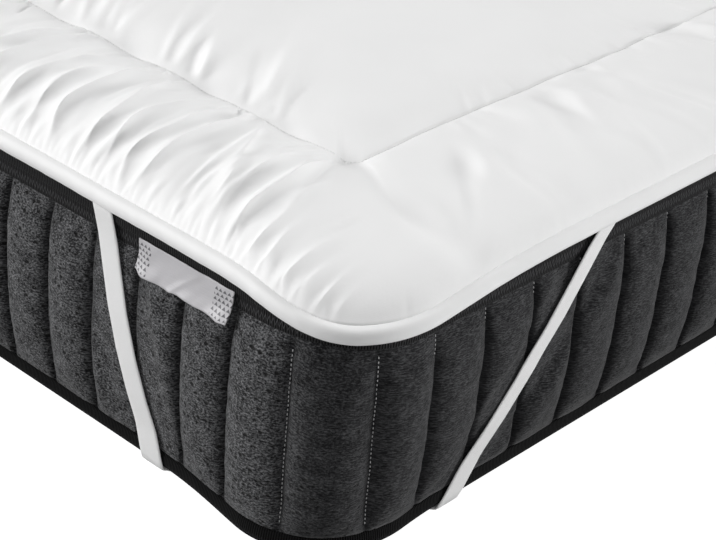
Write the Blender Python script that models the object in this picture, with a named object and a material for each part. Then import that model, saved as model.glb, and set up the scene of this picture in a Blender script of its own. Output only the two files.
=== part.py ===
# A filled mattress protector on the mattress that it fits: one padded panel with a stitched
# rectangle and gathered long borders, a binding round its edge, and an elastic band that runs
# from the binding under each corner. The mattress is plain, with upright quilted ribs and a
# tape along its top and bottom edges.
# Metres, +Z up. The origin is on the floor, in the middle of the mattress. +Y is its length.

import math
import random

import bpy
import bmesh

# The mattress. Its outline is the foot line of its sides, where they meet the bottom tape.
HALF_WIDTH = 0.434
HALF_LENGTH = 0.984
CORNER_RADIUS = 0.075
CROWN_HEIGHT = 0.208
CROWN_INSET = 0.080
CROWN_CORNER_RADIUS = 0.020

# Ribs: the valley seams on each side, as the first one's distance from the corner's round and
# the pitch, and the two seams on each corner, as a share of the round from its long side.
SHORT_FIRST_SEAM = 0.015
SHORT_SEAM_PITCH = 0.0529
SHORT_SEAMS = 14
LONG_FIRST_SEAM = 0.021
LONG_SEAM_PITCH = 0.048
LONG_SEAMS = 38
CORNER_SEAMS = (0.253, 0.720)
RIB_SHOULDERS = (0.28, 0.72)

# Upright section of the ribbed side, from the bottom up: height, then how far the valley and
# the crown of a rib stand out from the foot line.
RIB_SECTION = (
    # height, valley, crown
    (0.0300, 0.0000, 0.0075),
    (0.0550, 0.0030, 0.0118),
    (0.0870, 0.0052, 0.0138),
    (0.1200, 0.0052, 0.0135),
    (0.1500, 0.0035, 0.0095),
)
RIB_FOOT = 0.0155
# Insets and heights of the crown's round, between the top tape and the crown's edge.
CROWN_ROUND = ((0.012, 0.1985), (0.035, 0.2035))

# Near each corner the foot of the long side flares out.
FOOT_FLARE = 0.0135
FLARE_PAST_CORNER = 0.030
FLARE_REACH = 0.070
FLARE_HEIGHT = 0.140

# Top tape: its lower edge is higher on the long sides. The short ends lean out at the top.
TAPE_FOOT_LONG = 0.171
TAPE_FOOT_SHORT = 0.163
END_LEAN = 0.006
TAPE_TOP = 0.1942
# The mattress's side behind the top tape: stand-off, and share of the way up the tape.
TAPE_SEAT = ((0.0003, -0.03), (-0.0012, 0.00), (-0.0012, 0.98))
TAPE_SECTION = (
    # share of the way up, stand-off
    (0.00, -0.0008),
    (0.00, 0.0010),
    (0.42, 0.0013),
    (0.52, 0.0030),
    (0.88, 0.0030),
    (1.00, 0.0008),
    (0.97, -0.0008),
)
BOTTOM_TAPE = (
    # height, stand-off
    (0.0038, -0.0008),
    (0.0038, 0.0010),
    (0.0070, 0.0016),
    (0.0148, 0.0008),
    (0.0148, -0.0010),
)
TOP_TAPE_STATIONS = {"corner": 8, "short": 8, "long": 12}
BOTTOM_TAPE_STATIONS = {"corner": 8, "short": 16, "long": 20}
# The mattress's side behind the bottom tape: height, stand-off.
BOTTOM_SEAT = ((0.0045, -0.0014), (0.0150, -0.0014), (RIB_FOOT, 0.0))

# Rings of the flat underside, as inset and corner radius, and the round at its edge.
UNDERSIDE_RINGS = ((0.180, 0.015), (0.100, 0.020))
UNDERSIDE_ROUND = 0.008

# The pad. Each row is a ring round it: how far along the border it lies, from the edge (0) to
# the stitched rectangle (1), and its height on a long side, a short end and a corner.
SEAM_INSET_LONG = 0.141
SEAM_INSET_SHORT = 0.128
SEAM_CORNER_RADIUS = 0.012
BORDER_TOP = (
    # share, long side, short end, corner, fold depth
    (0.000, 0.2068, 0.2032, 0.1925, 0.0000),
    (0.050, 0.2125, 0.2106, 0.2025, 0.0010),
    (0.150, 0.2185, 0.2174, 0.2125, 0.0032),
    (0.350, 0.2248, 0.2232, 0.2210, 0.0048),
    (0.620, 0.2262, 0.2246, 0.2246, 0.0040),
    (0.870, 0.2222, 0.2214, 0.2222, 0.0022),
    (1.000, 0.2165, 0.2165, 0.2165, 0.0005),
)
MIDDLE_TOP = (
    # how far inside the stitched rectangle, height
    (0.012, 0.2212),
    (0.045, 0.2276),
    (0.105, 0.2305),
)
# Offset of the pad's upper edge on a long side, a short end and a corner.
PAD_EDGE = (-0.0006, 0.0120, 0.0138)
PAD_UNDER = (
    # offset and height of each ring underneath: long side, short end, corner
    ((-0.0006, 0.1976), (0.0106, 0.1965), (0.0112, 0.1903)),
    ((-0.0040, 0.1982), (0.0090, 0.1980), (0.0106, 0.1955)),
    ((-0.0120, 0.2003), (-0.0080, 0.2008), (-0.0060, 0.2006)),
    ((-0.0350, 0.2046), (-0.0350, 0.2046), (-0.0350, 0.2046)),
)
PAD_STATIONS = {"corner": 8, "short": 12, "long": 60}
FOLD_BOW = 0.014
PAD_CLEARANCE = 0.0008

# The binding: the middle of its section on a long side, a short end and a corner.
BINDING_OFFSET = (0.0056, 0.0166, 0.0174)
BINDING_HEIGHT = (0.2000, 0.1956, 0.1842)
BINDING_HALF = (0.0050, 0.0064)
BINDING_SIDES = 6
BINDING_STATIONS = {"corner": 8, "short": 8, "long": 16}

# How far the corner's droop reaches along the long side and the short end, from its lowest
# point, which is a share of the corner's round from the long side.
DROOP_LOWEST = 0.61
DROOP_ALONG_LONG = 0.050
DROOP_ALONG_SHORT = 0.095

# The elastic bands. Places are distances from the sharp corner of the foot lines.
BAND_THICKNESS = 0.0010
BAND_WIDTH = 0.0200
BAND_FOLD_WIDTH = 0.0235
BAND_SEWN_LONG = 0.228
BAND_SEWN_SHORT = 0.278
BAND_FOOT_LONG = 0.171
BAND_FOOT_SHORT = 0.122
BAND_LIFT = 0.0004
BAND_GAP = 0.0014
# A band presses the ribs that it crosses: the share of a rib's rise that is left, and how far
# to each side of the band's middle the press is full, and where it ends.
PRESSED_RISE = 0.20
PRESS_FULL = 0.030
PRESS_END = 0.046
BAND_END_GAP = 0.0004
BAND_HEIGHTS = (0.184, 0.170, 0.155, 0.140, 0.120, 0.100, 0.080, 0.060, 0.040, 0.022, 0.008)
# Stand-off and height of the band's inner face where it turns under the foot.
BAND_KNEE = (0.0031, 0.0030)
BAND_UNDER_STEPS = 8
# How far the bottom tape and the top tape's bead stand out under a band.
BAND_ON_TAPES = (0.0016, 0.0030)
# Over the bands the underside is this much higher, as far as this many times their own reach.
BAND_RECESS = 0.0024
BAND_RECESS_REACH = 1.85

# The blank label, sewn on the near long side: how far along from the corner, and its section.
LABEL_START = 0.093
LABEL_LENGTH = 0.094
LABEL_THICKNESS = 0.0010
LABEL_STEPS = 4
LABEL_SECTION = (
    # height, stand-off of its inner face
    (0.1570, 0.0096),
    (0.1680, 0.0055),
    (0.1815, 0.0026),
)

ARC = CORNER_RADIUS * math.pi / 2
SHORT_RUN = 2 * (HALF_WIDTH - CORNER_RADIUS)
LONG_RUN = 2 * (HALF_LENGTH - CORNER_RADIUS)
PIECES = (ARC, SHORT_RUN, ARC, LONG_RUN, ARC, SHORT_RUN, ARC, LONG_RUN)
PIECE_KINDS = ("corner", "short", "corner", "long") * 2
LOOP = sum(PIECES)


def clear_scene():
    for obj in list(bpy.data.objects):
        bpy.data.objects.remove(obj, do_unlink=True)


def make_material(name, color, roughness):
    material = bpy.data.materials.new(name)
    material.use_nodes = True
    shader = material.node_tree.nodes["Principled BSDF"]
    shader.inputs["Base Color"].default_value = (*color, 1.0)
    shader.inputs["Roughness"].default_value = roughness
    shader.inputs["Metallic"].default_value = 0.0
    return material


def finish(name, mesh_data, material):
    """Turn a bmesh into a named object, with its faces pointing out."""
    bmesh.ops.recalc_face_normals(mesh_data, faces=mesh_data.faces[:])
    mesh = bpy.data.meshes.new(name)
    mesh_data.to_mesh(mesh)
    mesh_data.free()
    mesh.materials.append(material)
    mesh.shade_smooth()
    mesh.set_sharp_from_angle(angle=math.radians(40))
    obj = bpy.data.objects.new(name, mesh)
    bpy.context.scene.collection.objects.link(obj)
    return obj


# The loop round the mattress. A place on it is a run: the distance along the foot line from the
# long side's end of the near corner, first along the near short end.

def locate(run):
    """The piece of the loop that a run lies on, and the share of the way along it."""
    rest = run % LOOP
    for index, length in enumerate(PIECES):
        if rest < length:
            return index, rest / length
        rest -= length
    return 0, 0.0


def piece_start(index):
    return sum(PIECES[:index])


def corner_centre(corner, half_width, half_length, radius):
    side_x = (-1, 1, 1, -1)[corner % 4]
    side_y = (-1, -1, 1, 1)[corner % 4]
    return side_x * (half_width - radius), side_y * (half_length - radius)


def ring_point(run, inset_x, inset_y, radius):
    """A point of a rounded rectangle, inset from the foot line, that belongs to a run."""
    piece, share = locate(run)
    corner = piece // 2
    half_width = HALF_WIDTH - inset_x
    half_length = HALF_LENGTH - inset_y
    if piece % 2 == 0:
        turn = math.radians(180 + 90 * (corner + share))
        x, y = corner_centre(corner, half_width, half_length, radius)
        return x + radius * math.cos(turn), y + radius * math.sin(turn)
    turn = math.radians(270 + 90 * corner)
    from_x, from_y = corner_centre(corner, half_width, half_length, radius)
    to_x, to_y = corner_centre(corner + 1, half_width, half_length, radius)
    x = from_x + (to_x - from_x) * share + radius * math.cos(turn)
    y = from_y + (to_y - from_y) * share + radius * math.sin(turn)
    return x, y


def end_weight(run):
    """1 on the short ends, 0 on the long sides, and between them on the corners."""
    piece, share = locate(run)
    if piece % 2:
        return 1.0 if PIECE_KINDS[piece] == "short" else 0.0
    to_short = share if (piece // 2) % 2 == 0 else 1 - share
    return math.sin(to_short * math.pi / 2) ** 2


def droop_weight(run):
    """1 where a corner of the pad hangs lowest, falling to 0 along both sides."""
    weight = 0.0
    for corner in range(4):
        toward_short = 1 if corner % 2 == 0 else -1
        share = DROOP_LOWEST if toward_short == 1 else 1 - DROOP_LOWEST
        lowest = piece_start(2 * corner) + share * ARC
        away = (run - lowest + LOOP / 2) % LOOP - LOOP / 2
        reach = DROOP_ALONG_SHORT if away * toward_short > 0 else DROOP_ALONG_LONG
        weight += math.exp(-(away / reach) ** 2)
    return min(weight, 1.0)


def blend(run, long_value, short_value, corner_value):
    end = end_weight(run)
    droop = droop_weight(run)
    side_value = long_value + (short_value - long_value) * end
    return side_value + (corner_value - side_value) * droop


def offset_point(run, offset):
    return ring_point(run, -offset, -offset, CORNER_RADIUS + offset)


def lean(run, height):
    """The short ends lean out over their upper half."""
    share = min(max(2 * height / TAPE_TOP - 1, 0.0), 1.0)
    return END_LEAN * end_weight(run) * share


def flare(run, height):
    """The foot flares out on the long side of each corner."""
    weight = 0.0
    for corner in range(4):
        from_long = corner % 2 == 0
        if from_long:
            middle = piece_start(2 * corner) + FLARE_PAST_CORNER
        else:
            middle = piece_start(2 * corner + 1) - FLARE_PAST_CORNER
        away = (run - middle + LOOP / 2) % LOOP - LOOP / 2
        weight += math.exp(-(away / FLARE_REACH) ** 2)
    return FOOT_FLARE * weight * max(0.0, 1 - height / FLARE_HEIGHT) ** 2


def side_point(run, stand_off, height):
    """A point of the mattress's side, or of what lies on it."""
    out = stand_off + lean(run, height) + flare(run, height)
    return (*offset_point(run, out), height)


def spaced_runs(counts):
    """Runs with the same number of steps on each piece of a kind."""
    runs = []
    for index, length in enumerate(PIECES):
        steps = counts[PIECE_KINDS[index]]
        runs += [piece_start(index) + length * step / steps for step in range(steps)]
    return runs


def seam_runs():
    """The run of each valley seam between two ribs."""
    seams = []
    for index, length in enumerate(PIECES):
        start = piece_start(index)
        kind = PIECE_KINDS[index]
        if kind == "corner":
            shares = CORNER_SEAMS
            if (index // 2) % 2:
                shares = sorted(1 - share for share in CORNER_SEAMS)
            seams += [start + share * length for share in shares]
        elif kind == "short":
            seams += [start + SHORT_FIRST_SEAM + SHORT_SEAM_PITCH * n for n in range(SHORT_SEAMS)]
        else:
            seams += [start + LONG_FIRST_SEAM + LONG_SEAM_PITCH * n for n in range(LONG_SEAMS)]
    return seams


def rib_stations(seams):
    """Runs round the mattress with how far each lies up its rib: 0 in a seam, 1 on a crown."""
    stations = []
    for index, seam in enumerate(seams):
        after = seams[index + 1] if index + 1 < len(seams) else seams[0] + LOOP
        stations.append((seam, 0.0))
        stations += [(seam + (after - seam) * share, 1.0) for share in RIB_SHOULDERS]
    return stations


# Skins: each is a stack of rings. A ring has as many points as the next, or a whole number of
# times as many.

def add_ring(mesh_data, points):
    return [mesh_data.verts.new(point) for point in points]


def bridge(mesh_data, lower, upper):
    spans = min(len(lower), len(upper))
    low_step = len(lower) // spans
    high_step = len(upper) // spans
    for span in range(spans):
        low = [lower[(span * low_step + n) % len(lower)] for n in range(low_step + 1)]
        high = [upper[(span * high_step + n) % len(upper)] for n in range(high_step + 1)]
        mesh_data.faces.new(low + high[::-1])


def skin(rings, close="caps"):
    """Join a stack of rings, and cap its ends or join the last ring to the first."""
    mesh_data = bmesh.new()
    loops = [add_ring(mesh_data, ring) for ring in rings]
    for lower, upper in zip(loops, loops[1:]):
        bridge(mesh_data, lower, upper)
    if close == "caps":
        mesh_data.faces.new(list(reversed(loops[0])))
        mesh_data.faces.new(loops[-1])
    else:
        bridge(mesh_data, loops[-1], loops[0])
    bmesh.ops.triangulate(mesh_data, faces=mesh_data.faces[:])
    return mesh_data


def underside_height(x, y):
    """The underside is flat on the floor, and a little higher where a band runs under it."""
    from_side = HALF_WIDTH - abs(x)
    from_end = HALF_LENGTH - abs(y)
    reach = from_side / BAND_FOOT_SHORT + from_end / BAND_FOOT_LONG
    return BAND_RECESS if reach < BAND_RECESS_REACH else 0.0


def press(run, height):
    """1 under a band, falling to 0 beside it."""
    share = 1 - height / TAPE_TOP
    weight = 0.0
    for corner in range(4):
        long_away = BAND_SEWN_LONG + (BAND_FOOT_LONG - BAND_SEWN_LONG) * share - CORNER_RADIUS
        short_away = BAND_SEWN_SHORT + (BAND_FOOT_SHORT - BAND_SEWN_SHORT) * share - CORNER_RADIUS
        before, after = (long_away, short_away) if corner % 2 == 0 else (short_away, long_away)
        for middle in (piece_start(2 * corner) - before, piece_start(2 * corner + 1) + after):
            away = abs((run - middle + LOOP / 2) % LOOP - LOOP / 2)
            weight = max(weight, (PRESS_END - away) / (PRESS_END - PRESS_FULL))
    return min(weight, 1.0)


def tape_foot(run):
    return TAPE_FOOT_LONG + (TAPE_FOOT_SHORT - TAPE_FOOT_LONG) * end_weight(run)


def make_mattress(material):
    runs = seam_runs()
    stations = rib_stations(runs)
    rings = []
    for inset, radius in UNDERSIDE_RINGS:
        corners = [ring_point(run, inset, inset, radius) for run in runs]
        rings.append([(x, y, underside_height(x, y)) for x, y in corners])
    edge = [side_point(run, -UNDERSIDE_ROUND, 0.0) for run in runs]
    rings.append([(x, y, underside_height(x, y)) for x, y, height in edge])
    rings += [[side_point(run, out, height) for run in runs] for height, out in BOTTOM_SEAT]
    for height, valley, crown in RIB_SECTION:
        ring = []
        for run, rise in stations:
            left = 1 - (1 - PRESSED_RISE) * press(run, height)
            ring.append(side_point(run, valley + (crown - valley) * rise * left, height))
        rings.append(ring)
    for stand_off, share in TAPE_SEAT:
        ring = []
        for run in runs:
            foot = tape_foot(run)
            ring.append(side_point(run, stand_off, foot + (TAPE_TOP - foot) * share))
        rings.append(ring)
    for inset, height in CROWN_ROUND:
        radius = CORNER_RADIUS - inset
        rings.append([(*ring_point(run, inset, inset, radius), height) for run in runs])
    inset, radius = CROWN_INSET, CROWN_CORNER_RADIUS
    rings.append([(*ring_point(run, inset, inset, radius), CROWN_HEIGHT) for run in runs])
    finish("mattress", skin(rings), material)


def make_tapes(material):
    runs = spaced_runs(TOP_TAPE_STATIONS)
    rings = []
    for share, stand_off in TAPE_SECTION:
        ring = []
        for run in runs:
            foot = tape_foot(run)
            ring.append(side_point(run, stand_off, foot + (TAPE_TOP - foot) * share))
        rings.append(ring)
    finish("tape_top", skin(rings, close="ring"), material)
    runs = spaced_runs(BOTTOM_TAPE_STATIONS)
    rings = [[side_point(run, out, height) for run in runs] for height, out in BOTTOM_TAPE]
    finish("tape_bottom", skin(rings, close="ring"), material)


def fold_height(index, run, dice):
    """Crests and troughs take turns along a long side, each with its own depth."""
    side = 1 if index % 2 else -1
    return side * dice[index] * (1 - end_weight(run)) ** 2


def bow(run, share):
    """How far a fold strays from a straight line across the border."""
    piece, along = locate(run)
    if PIECE_KINDS[piece] != "long":
        return 0.0
    toward = -1 if along > 0.5 else 1
    return toward * FOLD_BOW * math.sin(math.pi * share) * abs(math.sin(2 * math.pi * along))


def make_pad(material):
    runs = spaced_runs(PAD_STATIONS)
    chance = random.Random(7)
    dice = [chance.uniform(0.55, 1.0) for _ in runs]
    rings = []
    inset, radius = CROWN_INSET, CROWN_CORNER_RADIUS
    under = CROWN_HEIGHT + PAD_CLEARANCE
    rings.append([(*ring_point(run, inset, inset, radius), under) for run in runs])
    for sides in reversed(PAD_UNDER):
        ring = []
        for run in runs:
            offset = blend(run, *(side[0] for side in sides))
            height = blend(run, *(side[1] for side in sides))
            ring.append((*offset_point(run, offset), height))
        rings.append(ring)
    for share, long_height, short_height, corner_height, depth in BORDER_TOP:
        ring = []
        for index, run in enumerate(runs):
            edge = blend(run, *PAD_EDGE)
            inset_x = -edge + (SEAM_INSET_LONG + edge) * share
            inset_y = -edge + (SEAM_INSET_SHORT + edge) * share
            radius = CORNER_RADIUS + edge + (SEAM_CORNER_RADIUS - CORNER_RADIUS - edge) * share
            point = ring_point(run + bow(run, share), inset_x, inset_y, radius)
            height = blend(run, long_height, short_height, corner_height)
            ring.append((*point, height + depth * fold_height(index, run, dice)))
        rings.append(ring)
    for step, height in MIDDLE_TOP:
        inset_x, inset_y = SEAM_INSET_LONG + step, SEAM_INSET_SHORT + step
        radius = SEAM_CORNER_RADIUS
        rings.append([(*ring_point(run, inset_x, inset_y, radius), height) for run in runs])
    finish("pad", skin(rings), material)


def make_binding(material):
    runs = spaced_runs(BINDING_STATIONS)
    rings = []
    for side in range(BINDING_SIDES):
        turn = 2 * math.pi * side / BINDING_SIDES
        ring = []
        for run in runs:
            offset = blend(run, *BINDING_OFFSET) + BINDING_HALF[0] * math.cos(turn)
            height = blend(run, *BINDING_HEIGHT) + BINDING_HALF[1] * math.sin(turn)
            ring.append((*offset_point(run, offset), height))
        rings.append(ring)
    finish("binding", skin(rings, close="ring"), material)


def band_seat(height):
    """How far the ribs stand out under a band at a height."""
    at_foot, at_top = BAND_ON_TAPES
    rows = [(0.0, at_foot), (RIB_FOOT, at_foot)]
    rows += [(row[0], row[1] + (row[2] - row[1]) * PRESSED_RISE) for row in RIB_SECTION]
    rows += [(TAPE_FOOT_LONG, at_top), (TAPE_TOP, at_top)]
    for (low, low_out), (high, high_out) in zip(rows, rows[1:]):
        if height <= high:
            return low_out + (high_out - low_out) * (height - low) / (high - low)
    return rows[-1][1]


def band_rows(sewn, foot, top):
    """Rows down a side: distance from the corner, stand-off of the inner face, height, width."""
    rows = []
    for height in (top,) + BAND_HEIGHTS:
        share = 1 - height / top
        width = BAND_WIDTH + (BAND_FOLD_WIDTH - BAND_WIDTH) * share ** 2
        rows.append((sewn + (foot - sewn) * share, band_seat(height) + BAND_GAP, height, width))
    return rows


def band_section(place, outward, across, width):
    """Four corners of the band's section: inner pair, then outer pair."""
    half = width / 2
    low = [place[axis] - across[axis] * half for axis in range(3)]
    high = [place[axis] + across[axis] * half for axis in range(3)]
    thick = [BAND_THICKNESS * outward[axis] for axis in range(3)]
    low_out = [low[axis] + thick[axis] for axis in range(3)]
    high_out = [high[axis] + thick[axis] for axis in range(3)]
    return low, high, high_out, low_out


def make_band(name, side_x, side_y, material):
    """One band, from the binding on a long side, under the corner, to the short end."""
    long_top = BINDING_HEIGHT[0] - BINDING_HALF[1] - BAND_END_GAP
    short_top = PAD_UNDER[0][1][1] - BAND_END_GAP
    sections = []
    for along, out, height, width in band_rows(BAND_SEWN_LONG, BAND_FOOT_LONG, long_top):
        place = side_point(LOOP - (along - CORNER_RADIUS), out, height)
        sections.append(band_section(place, (-1, 0, 0), (0, 1, 0), width))
    turned = math.sqrt(0.5)
    place = side_point(LOOP - (BAND_FOOT_LONG - CORNER_RADIUS), *BAND_KNEE)
    sections.append(band_section(place, (-turned, 0, -turned), (0, 1, 0), BAND_FOLD_WIDTH))
    start = side_point(LOOP - (BAND_FOOT_LONG - CORNER_RADIUS), 0.0, 0.0)
    end = side_point(ARC + BAND_FOOT_SHORT - CORNER_RADIUS, 0.0, 0.0)
    for step in range(BAND_UNDER_STEPS + 1):
        share = step / BAND_UNDER_STEPS
        x = start[0] + (end[0] - start[0]) * share
        y = start[1] + (end[1] - start[1]) * share
        place = (x, y, BAND_LIFT + BAND_THICKNESS)
        length = math.hypot(share, 1 - share)
        across = (share / length, (1 - share) / length, 0)
        width = BAND_FOLD_WIDTH + (BAND_WIDTH - BAND_FOLD_WIDTH) * math.sin(math.pi * share)
        sections.append(band_section(place, (0, 0, -1), across, width))
    place = side_point(ARC + BAND_FOOT_SHORT - CORNER_RADIUS, *BAND_KNEE)
    sections.append(band_section(place, (0, -turned, -turned), (1, 0, 0), BAND_FOLD_WIDTH))
    rows = band_rows(BAND_SEWN_SHORT, BAND_FOOT_SHORT, short_top)
    for along, out, height, width in reversed(rows):
        place = side_point(ARC + along - CORNER_RADIUS, out, height)
        sections.append(band_section(place, (0, -1, 0), (1, 0, 0), width))
    rings = [[(-x * side_x, -y * side_y, z) for x, y, z in section] for section in sections]
    finish(name, skin(rings), material)


def make_bands(material):
    make_band("band_near_left", -1, -1, material)
    make_band("band_near_right", 1, -1, material)
    make_band("band_far_right", 1, 1, material)
    make_band("band_far_left", -1, 1, material)


def make_label(material):
    start = -HALF_LENGTH + LABEL_START
    rings = []
    for step in range(LABEL_STEPS + 1):
        y = start + LABEL_LENGTH * step / LABEL_STEPS
        inner = [(-(HALF_WIDTH + out), y, height) for height, out in LABEL_SECTION]
        outer = [(x - LABEL_THICKNESS, y, height) for x, y, height in reversed(inner)]
        rings.append(inner + outer)
    finish("label", skin(rings), material)


def build():
    clear_scene()
    knit = make_material("charcoal_knit", (0.035, 0.036, 0.038), 0.9)
    tape = make_material("black_tape", (0.012, 0.012, 0.013), 0.75)
    cover = make_material("white_cover", (0.86, 0.86, 0.86), 0.7)
    edging = make_material("white_edging", (0.86, 0.86, 0.85), 0.75)
    elastic = make_material("white_elastic", (0.80, 0.80, 0.79), 0.8)
    satin = make_material("white_satin", (0.82, 0.82, 0.82), 0.5)
    make_mattress(knit)
    make_tapes(tape)
    make_pad(cover)
    make_binding(edging)
    make_bands(elastic)
    make_label(satin)


build()
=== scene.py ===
# Looks for a filled mattress protector on the mattress that it fits. The corner at -X -Y faces
# the camera. Metres, in the part's own frame: the origin is on the floor, +Y is the length.

import math
import random

import bpy
import bmesh
import numpy as np
from mathutils import Matrix, Vector


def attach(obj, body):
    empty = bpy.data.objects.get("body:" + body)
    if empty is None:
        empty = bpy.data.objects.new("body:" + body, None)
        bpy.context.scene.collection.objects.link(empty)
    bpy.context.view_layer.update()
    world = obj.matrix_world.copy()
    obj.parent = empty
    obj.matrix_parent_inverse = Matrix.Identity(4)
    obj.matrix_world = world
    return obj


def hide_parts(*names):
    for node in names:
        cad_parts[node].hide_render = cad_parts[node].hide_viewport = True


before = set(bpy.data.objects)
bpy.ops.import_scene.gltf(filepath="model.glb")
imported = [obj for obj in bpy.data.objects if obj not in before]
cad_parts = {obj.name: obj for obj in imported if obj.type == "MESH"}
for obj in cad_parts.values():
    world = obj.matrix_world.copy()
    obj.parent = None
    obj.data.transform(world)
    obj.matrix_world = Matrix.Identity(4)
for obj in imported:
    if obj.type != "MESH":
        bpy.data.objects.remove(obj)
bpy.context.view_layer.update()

# The mattress's foot line, as in the part.
HALF_WIDTH = 0.434
HALF_LENGTH = 0.984
CORNER_RADIUS = 0.075
CROWN_HEIGHT = 0.208
CROWN_INSET = 0.080
CROWN_CORNER_RADIUS = 0.020
# Inset and corner radius of each ring.
CROWN_RINGS = ((CROWN_INSET, CROWN_CORNER_RADIUS), (0.200, 0.010), (0.425, 0.004))

# Ribs.
SHORT_FIRST_SEAM = 0.015
SHORT_SEAM_PITCH = 0.0529
SHORT_SEAMS = 14
LONG_FIRST_SEAM = 0.021
LONG_SEAM_PITCH = 0.048
LONG_SEAMS = 38
CORNER_SEAMS = (0.253, 0.720)
RIB_SHARES = (0.0, 0.022, 0.052, 0.10, 0.17, 0.26, 0.38,
              0.50, 0.62, 0.74, 0.83, 0.90, 0.948, 0.978)
RIB_MIDDLE = RIB_SHARES.index(0.50)
RIB_SECTION = np.array((
    # height, valley, crown
    (0.0155, 0.0000, 0.0010),
    (0.0300, 0.0000, 0.0075),
    (0.0550, 0.0030, 0.0118),
    (0.0870, 0.0052, 0.0138),
    (0.1200, 0.0052, 0.0135),
    (0.1500, 0.0035, 0.0095),
    (0.1660, 0.0012, 0.0030),
))
SIDE_ROWS = 44
RIB_GROOVE = 0.0030
RIB_GROOVE_SHARE = 0.042
# How far from each seam, as a share of the rib, the painted shade in the rib valleys reaches.
VALLEY_SHADE_SHARE = 0.11
# Inset and corner radius of each ring, then the insets at the foot.
UNDERSIDE_RINGS = ((0.425, 0.004), (0.300, 0.010), (0.180, 0.015), (0.100, 0.020))
FOOT_INSETS = (0.008, 0.003)
SEAT_OFFSET = -0.0014
SEAT_HEIGHTS = (0.0045, 0.0150)
TAPE_SEAT = -0.0012
# Inset and height of each ring between the side and the crown.
SHOULDER_RINGS = ((0.012, 0.1985), (0.035, 0.2035))
FOOT_FLARE = 0.0135
FLARE_PAST_CORNER = 0.030
FLARE_REACH = 0.070
FLARE_HEIGHT = 0.140
END_LEAN = 0.006

# Tapes.
TAPE_FOOT_LONG = 0.171
TAPE_FOOT_SHORT = 0.163
TAPE_TOP = 0.1942
TAPE_STEPS = {"corner": 30, "short": 120, "long": 300}
TOP_TAPE_SECTION = (
    # share of its height, stand-off
    (0.00, -0.0008), (0.00, 0.0009), (0.03, 0.0013), (0.20, 0.0014), (0.40, 0.0013),
    (0.47, 0.0014), (0.51, 0.0024), (0.58, 0.0031), (0.70, 0.0034), (0.82, 0.0031),
    (0.90, 0.0024), (0.96, 0.0012), (1.00, 0.0006), (0.97, -0.0008),
)
FOOT_TAPE_SECTION = (
    # height, stand-off
    (0.0038, -0.0008), (0.0038, 0.0008), (0.0050, 0.0014), (0.0075, 0.0017),
    (0.0105, 0.0016), (0.0130, 0.0012), (0.0146, 0.0007), (0.0148, -0.0010),
)

# The pad: rows across its border, from the edge to the stitched rectangle.
SEAM_INSET_LONG = 0.141
SEAM_INSET_SHORT = 0.128
SEAM_CORNER_RADIUS = 0.012
BORDER_TOP = np.array((
    # share, height on a long side, on a short end and at a corner
    (0.000, 0.2048, 0.2011, 0.1901),
    (0.050, 0.2121, 0.2101, 0.1995),
    (0.150, 0.2185, 0.2174, 0.2096),
    (0.350, 0.2248, 0.2232, 0.2192),
    (0.620, 0.2262, 0.2246, 0.2242),
    (0.870, 0.2222, 0.2214, 0.2222),
    (1.000, 0.2165, 0.2165, 0.2165),
))
MIDDLE_TOP = np.array((
    # how far inside the stitched rectangle, height
    (0.000, 0.2165),
    (0.012, 0.2190),
    (0.045, 0.2258),
    (0.105, 0.2298),
    (0.250, 0.2302),
    (0.310, 0.2302),
))
HIP_ROUND = 0.014
# Offset on a long side, on a short end and at a corner.
PAD_EDGE = (0.0017, 0.0144, 0.0159)
PAD_UNDER = (
    # offset and height of each ring underneath: long side, short end, corner
    ((-0.0006, 0.1976), (0.0106, 0.1965), (0.0112, 0.1903)),
    ((-0.0040, 0.1982), (0.0090, 0.1980), (0.0106, 0.1955)),
    ((-0.0120, 0.2003), (-0.0080, 0.2008), (-0.0060, 0.2006)),
    ((-0.0350, 0.2046), (-0.0350, 0.2046), (-0.0350, 0.2046)),
)
PAD_CLEARANCE = 0.0008

# The binding: its offset and height on a long side, on a short end and at a corner.
BINDING_OFFSET = (0.0056, 0.0166, 0.0174)
BINDING_HEIGHT = (0.2000, 0.1956, 0.1842)
BINDING_HALF = (0.0050, 0.0064)
# The lip on the pad: share of the border's width, and how far it stands proud.
BINDING_LIP = ((0.0110, -0.0022), (0.0075, 0.0000), (0.0030, 0.0004))
BINDING_TURNS = np.radians(np.linspace(98, -138, 16))
BINDING_THICKNESS = 0.0008
BINDING_STEPS = {"corner": 44, "short": 200, "long": 500}
DROOP_LOWEST = 0.61
DROOP_ALONG_LONG = 0.050
DROOP_ALONG_SHORT = 0.095

# The elastic bands.
BAND_THICKNESS = 0.0010
BAND_WIDTH = 0.0200
BAND_FOLD_WIDTH = 0.0235
BAND_SEWN_LONG = 0.228
BAND_SEWN_SHORT = 0.278
BAND_FOOT_LONG = 0.171
BAND_FOOT_SHORT = 0.122
BAND_LIFT = 0.0004
BAND_GAP = 0.0014
BAND_END_GAP = 0.0004
# Stand-off and height where a band turns under the corner.
BAND_KNEE = (0.0031, 0.0030)
BAND_RECESS = 0.0024
BAND_RECESS_REACH = 1.85
BAND_SEAT_FOOT = 0.0016
BAND_SEAT_TAPE = 0.0030
BAND_LEG_FOOT = 0.008
BAND_LEG_STEPS = 46
BAND_UNDER_STEPS = 25
PRESSED_RISE = 0.20
PRESS_FULL = 0.030
PRESS_END = 0.046

# The label.
LABEL_LENGTH = 0.095
LABEL_WIDTH = 0.026
LABEL_START = 0.094
LABEL_THICKNESS = 0.0006
LABEL_SECTION = np.array((
    # height, stand-off of its inner face
    (0.1600, 0.0098),
    (0.1700, 0.0058),
    (0.1840, 0.0036),
))
DOT_PITCH = 0.0040
# How far the rows reach in at the two ends, and the plain margins at the foot and the top.
DOT_ENDS = (0.0175, 0.0135)
DOT_MARGINS = (0.0015, 0.0020)

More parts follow.
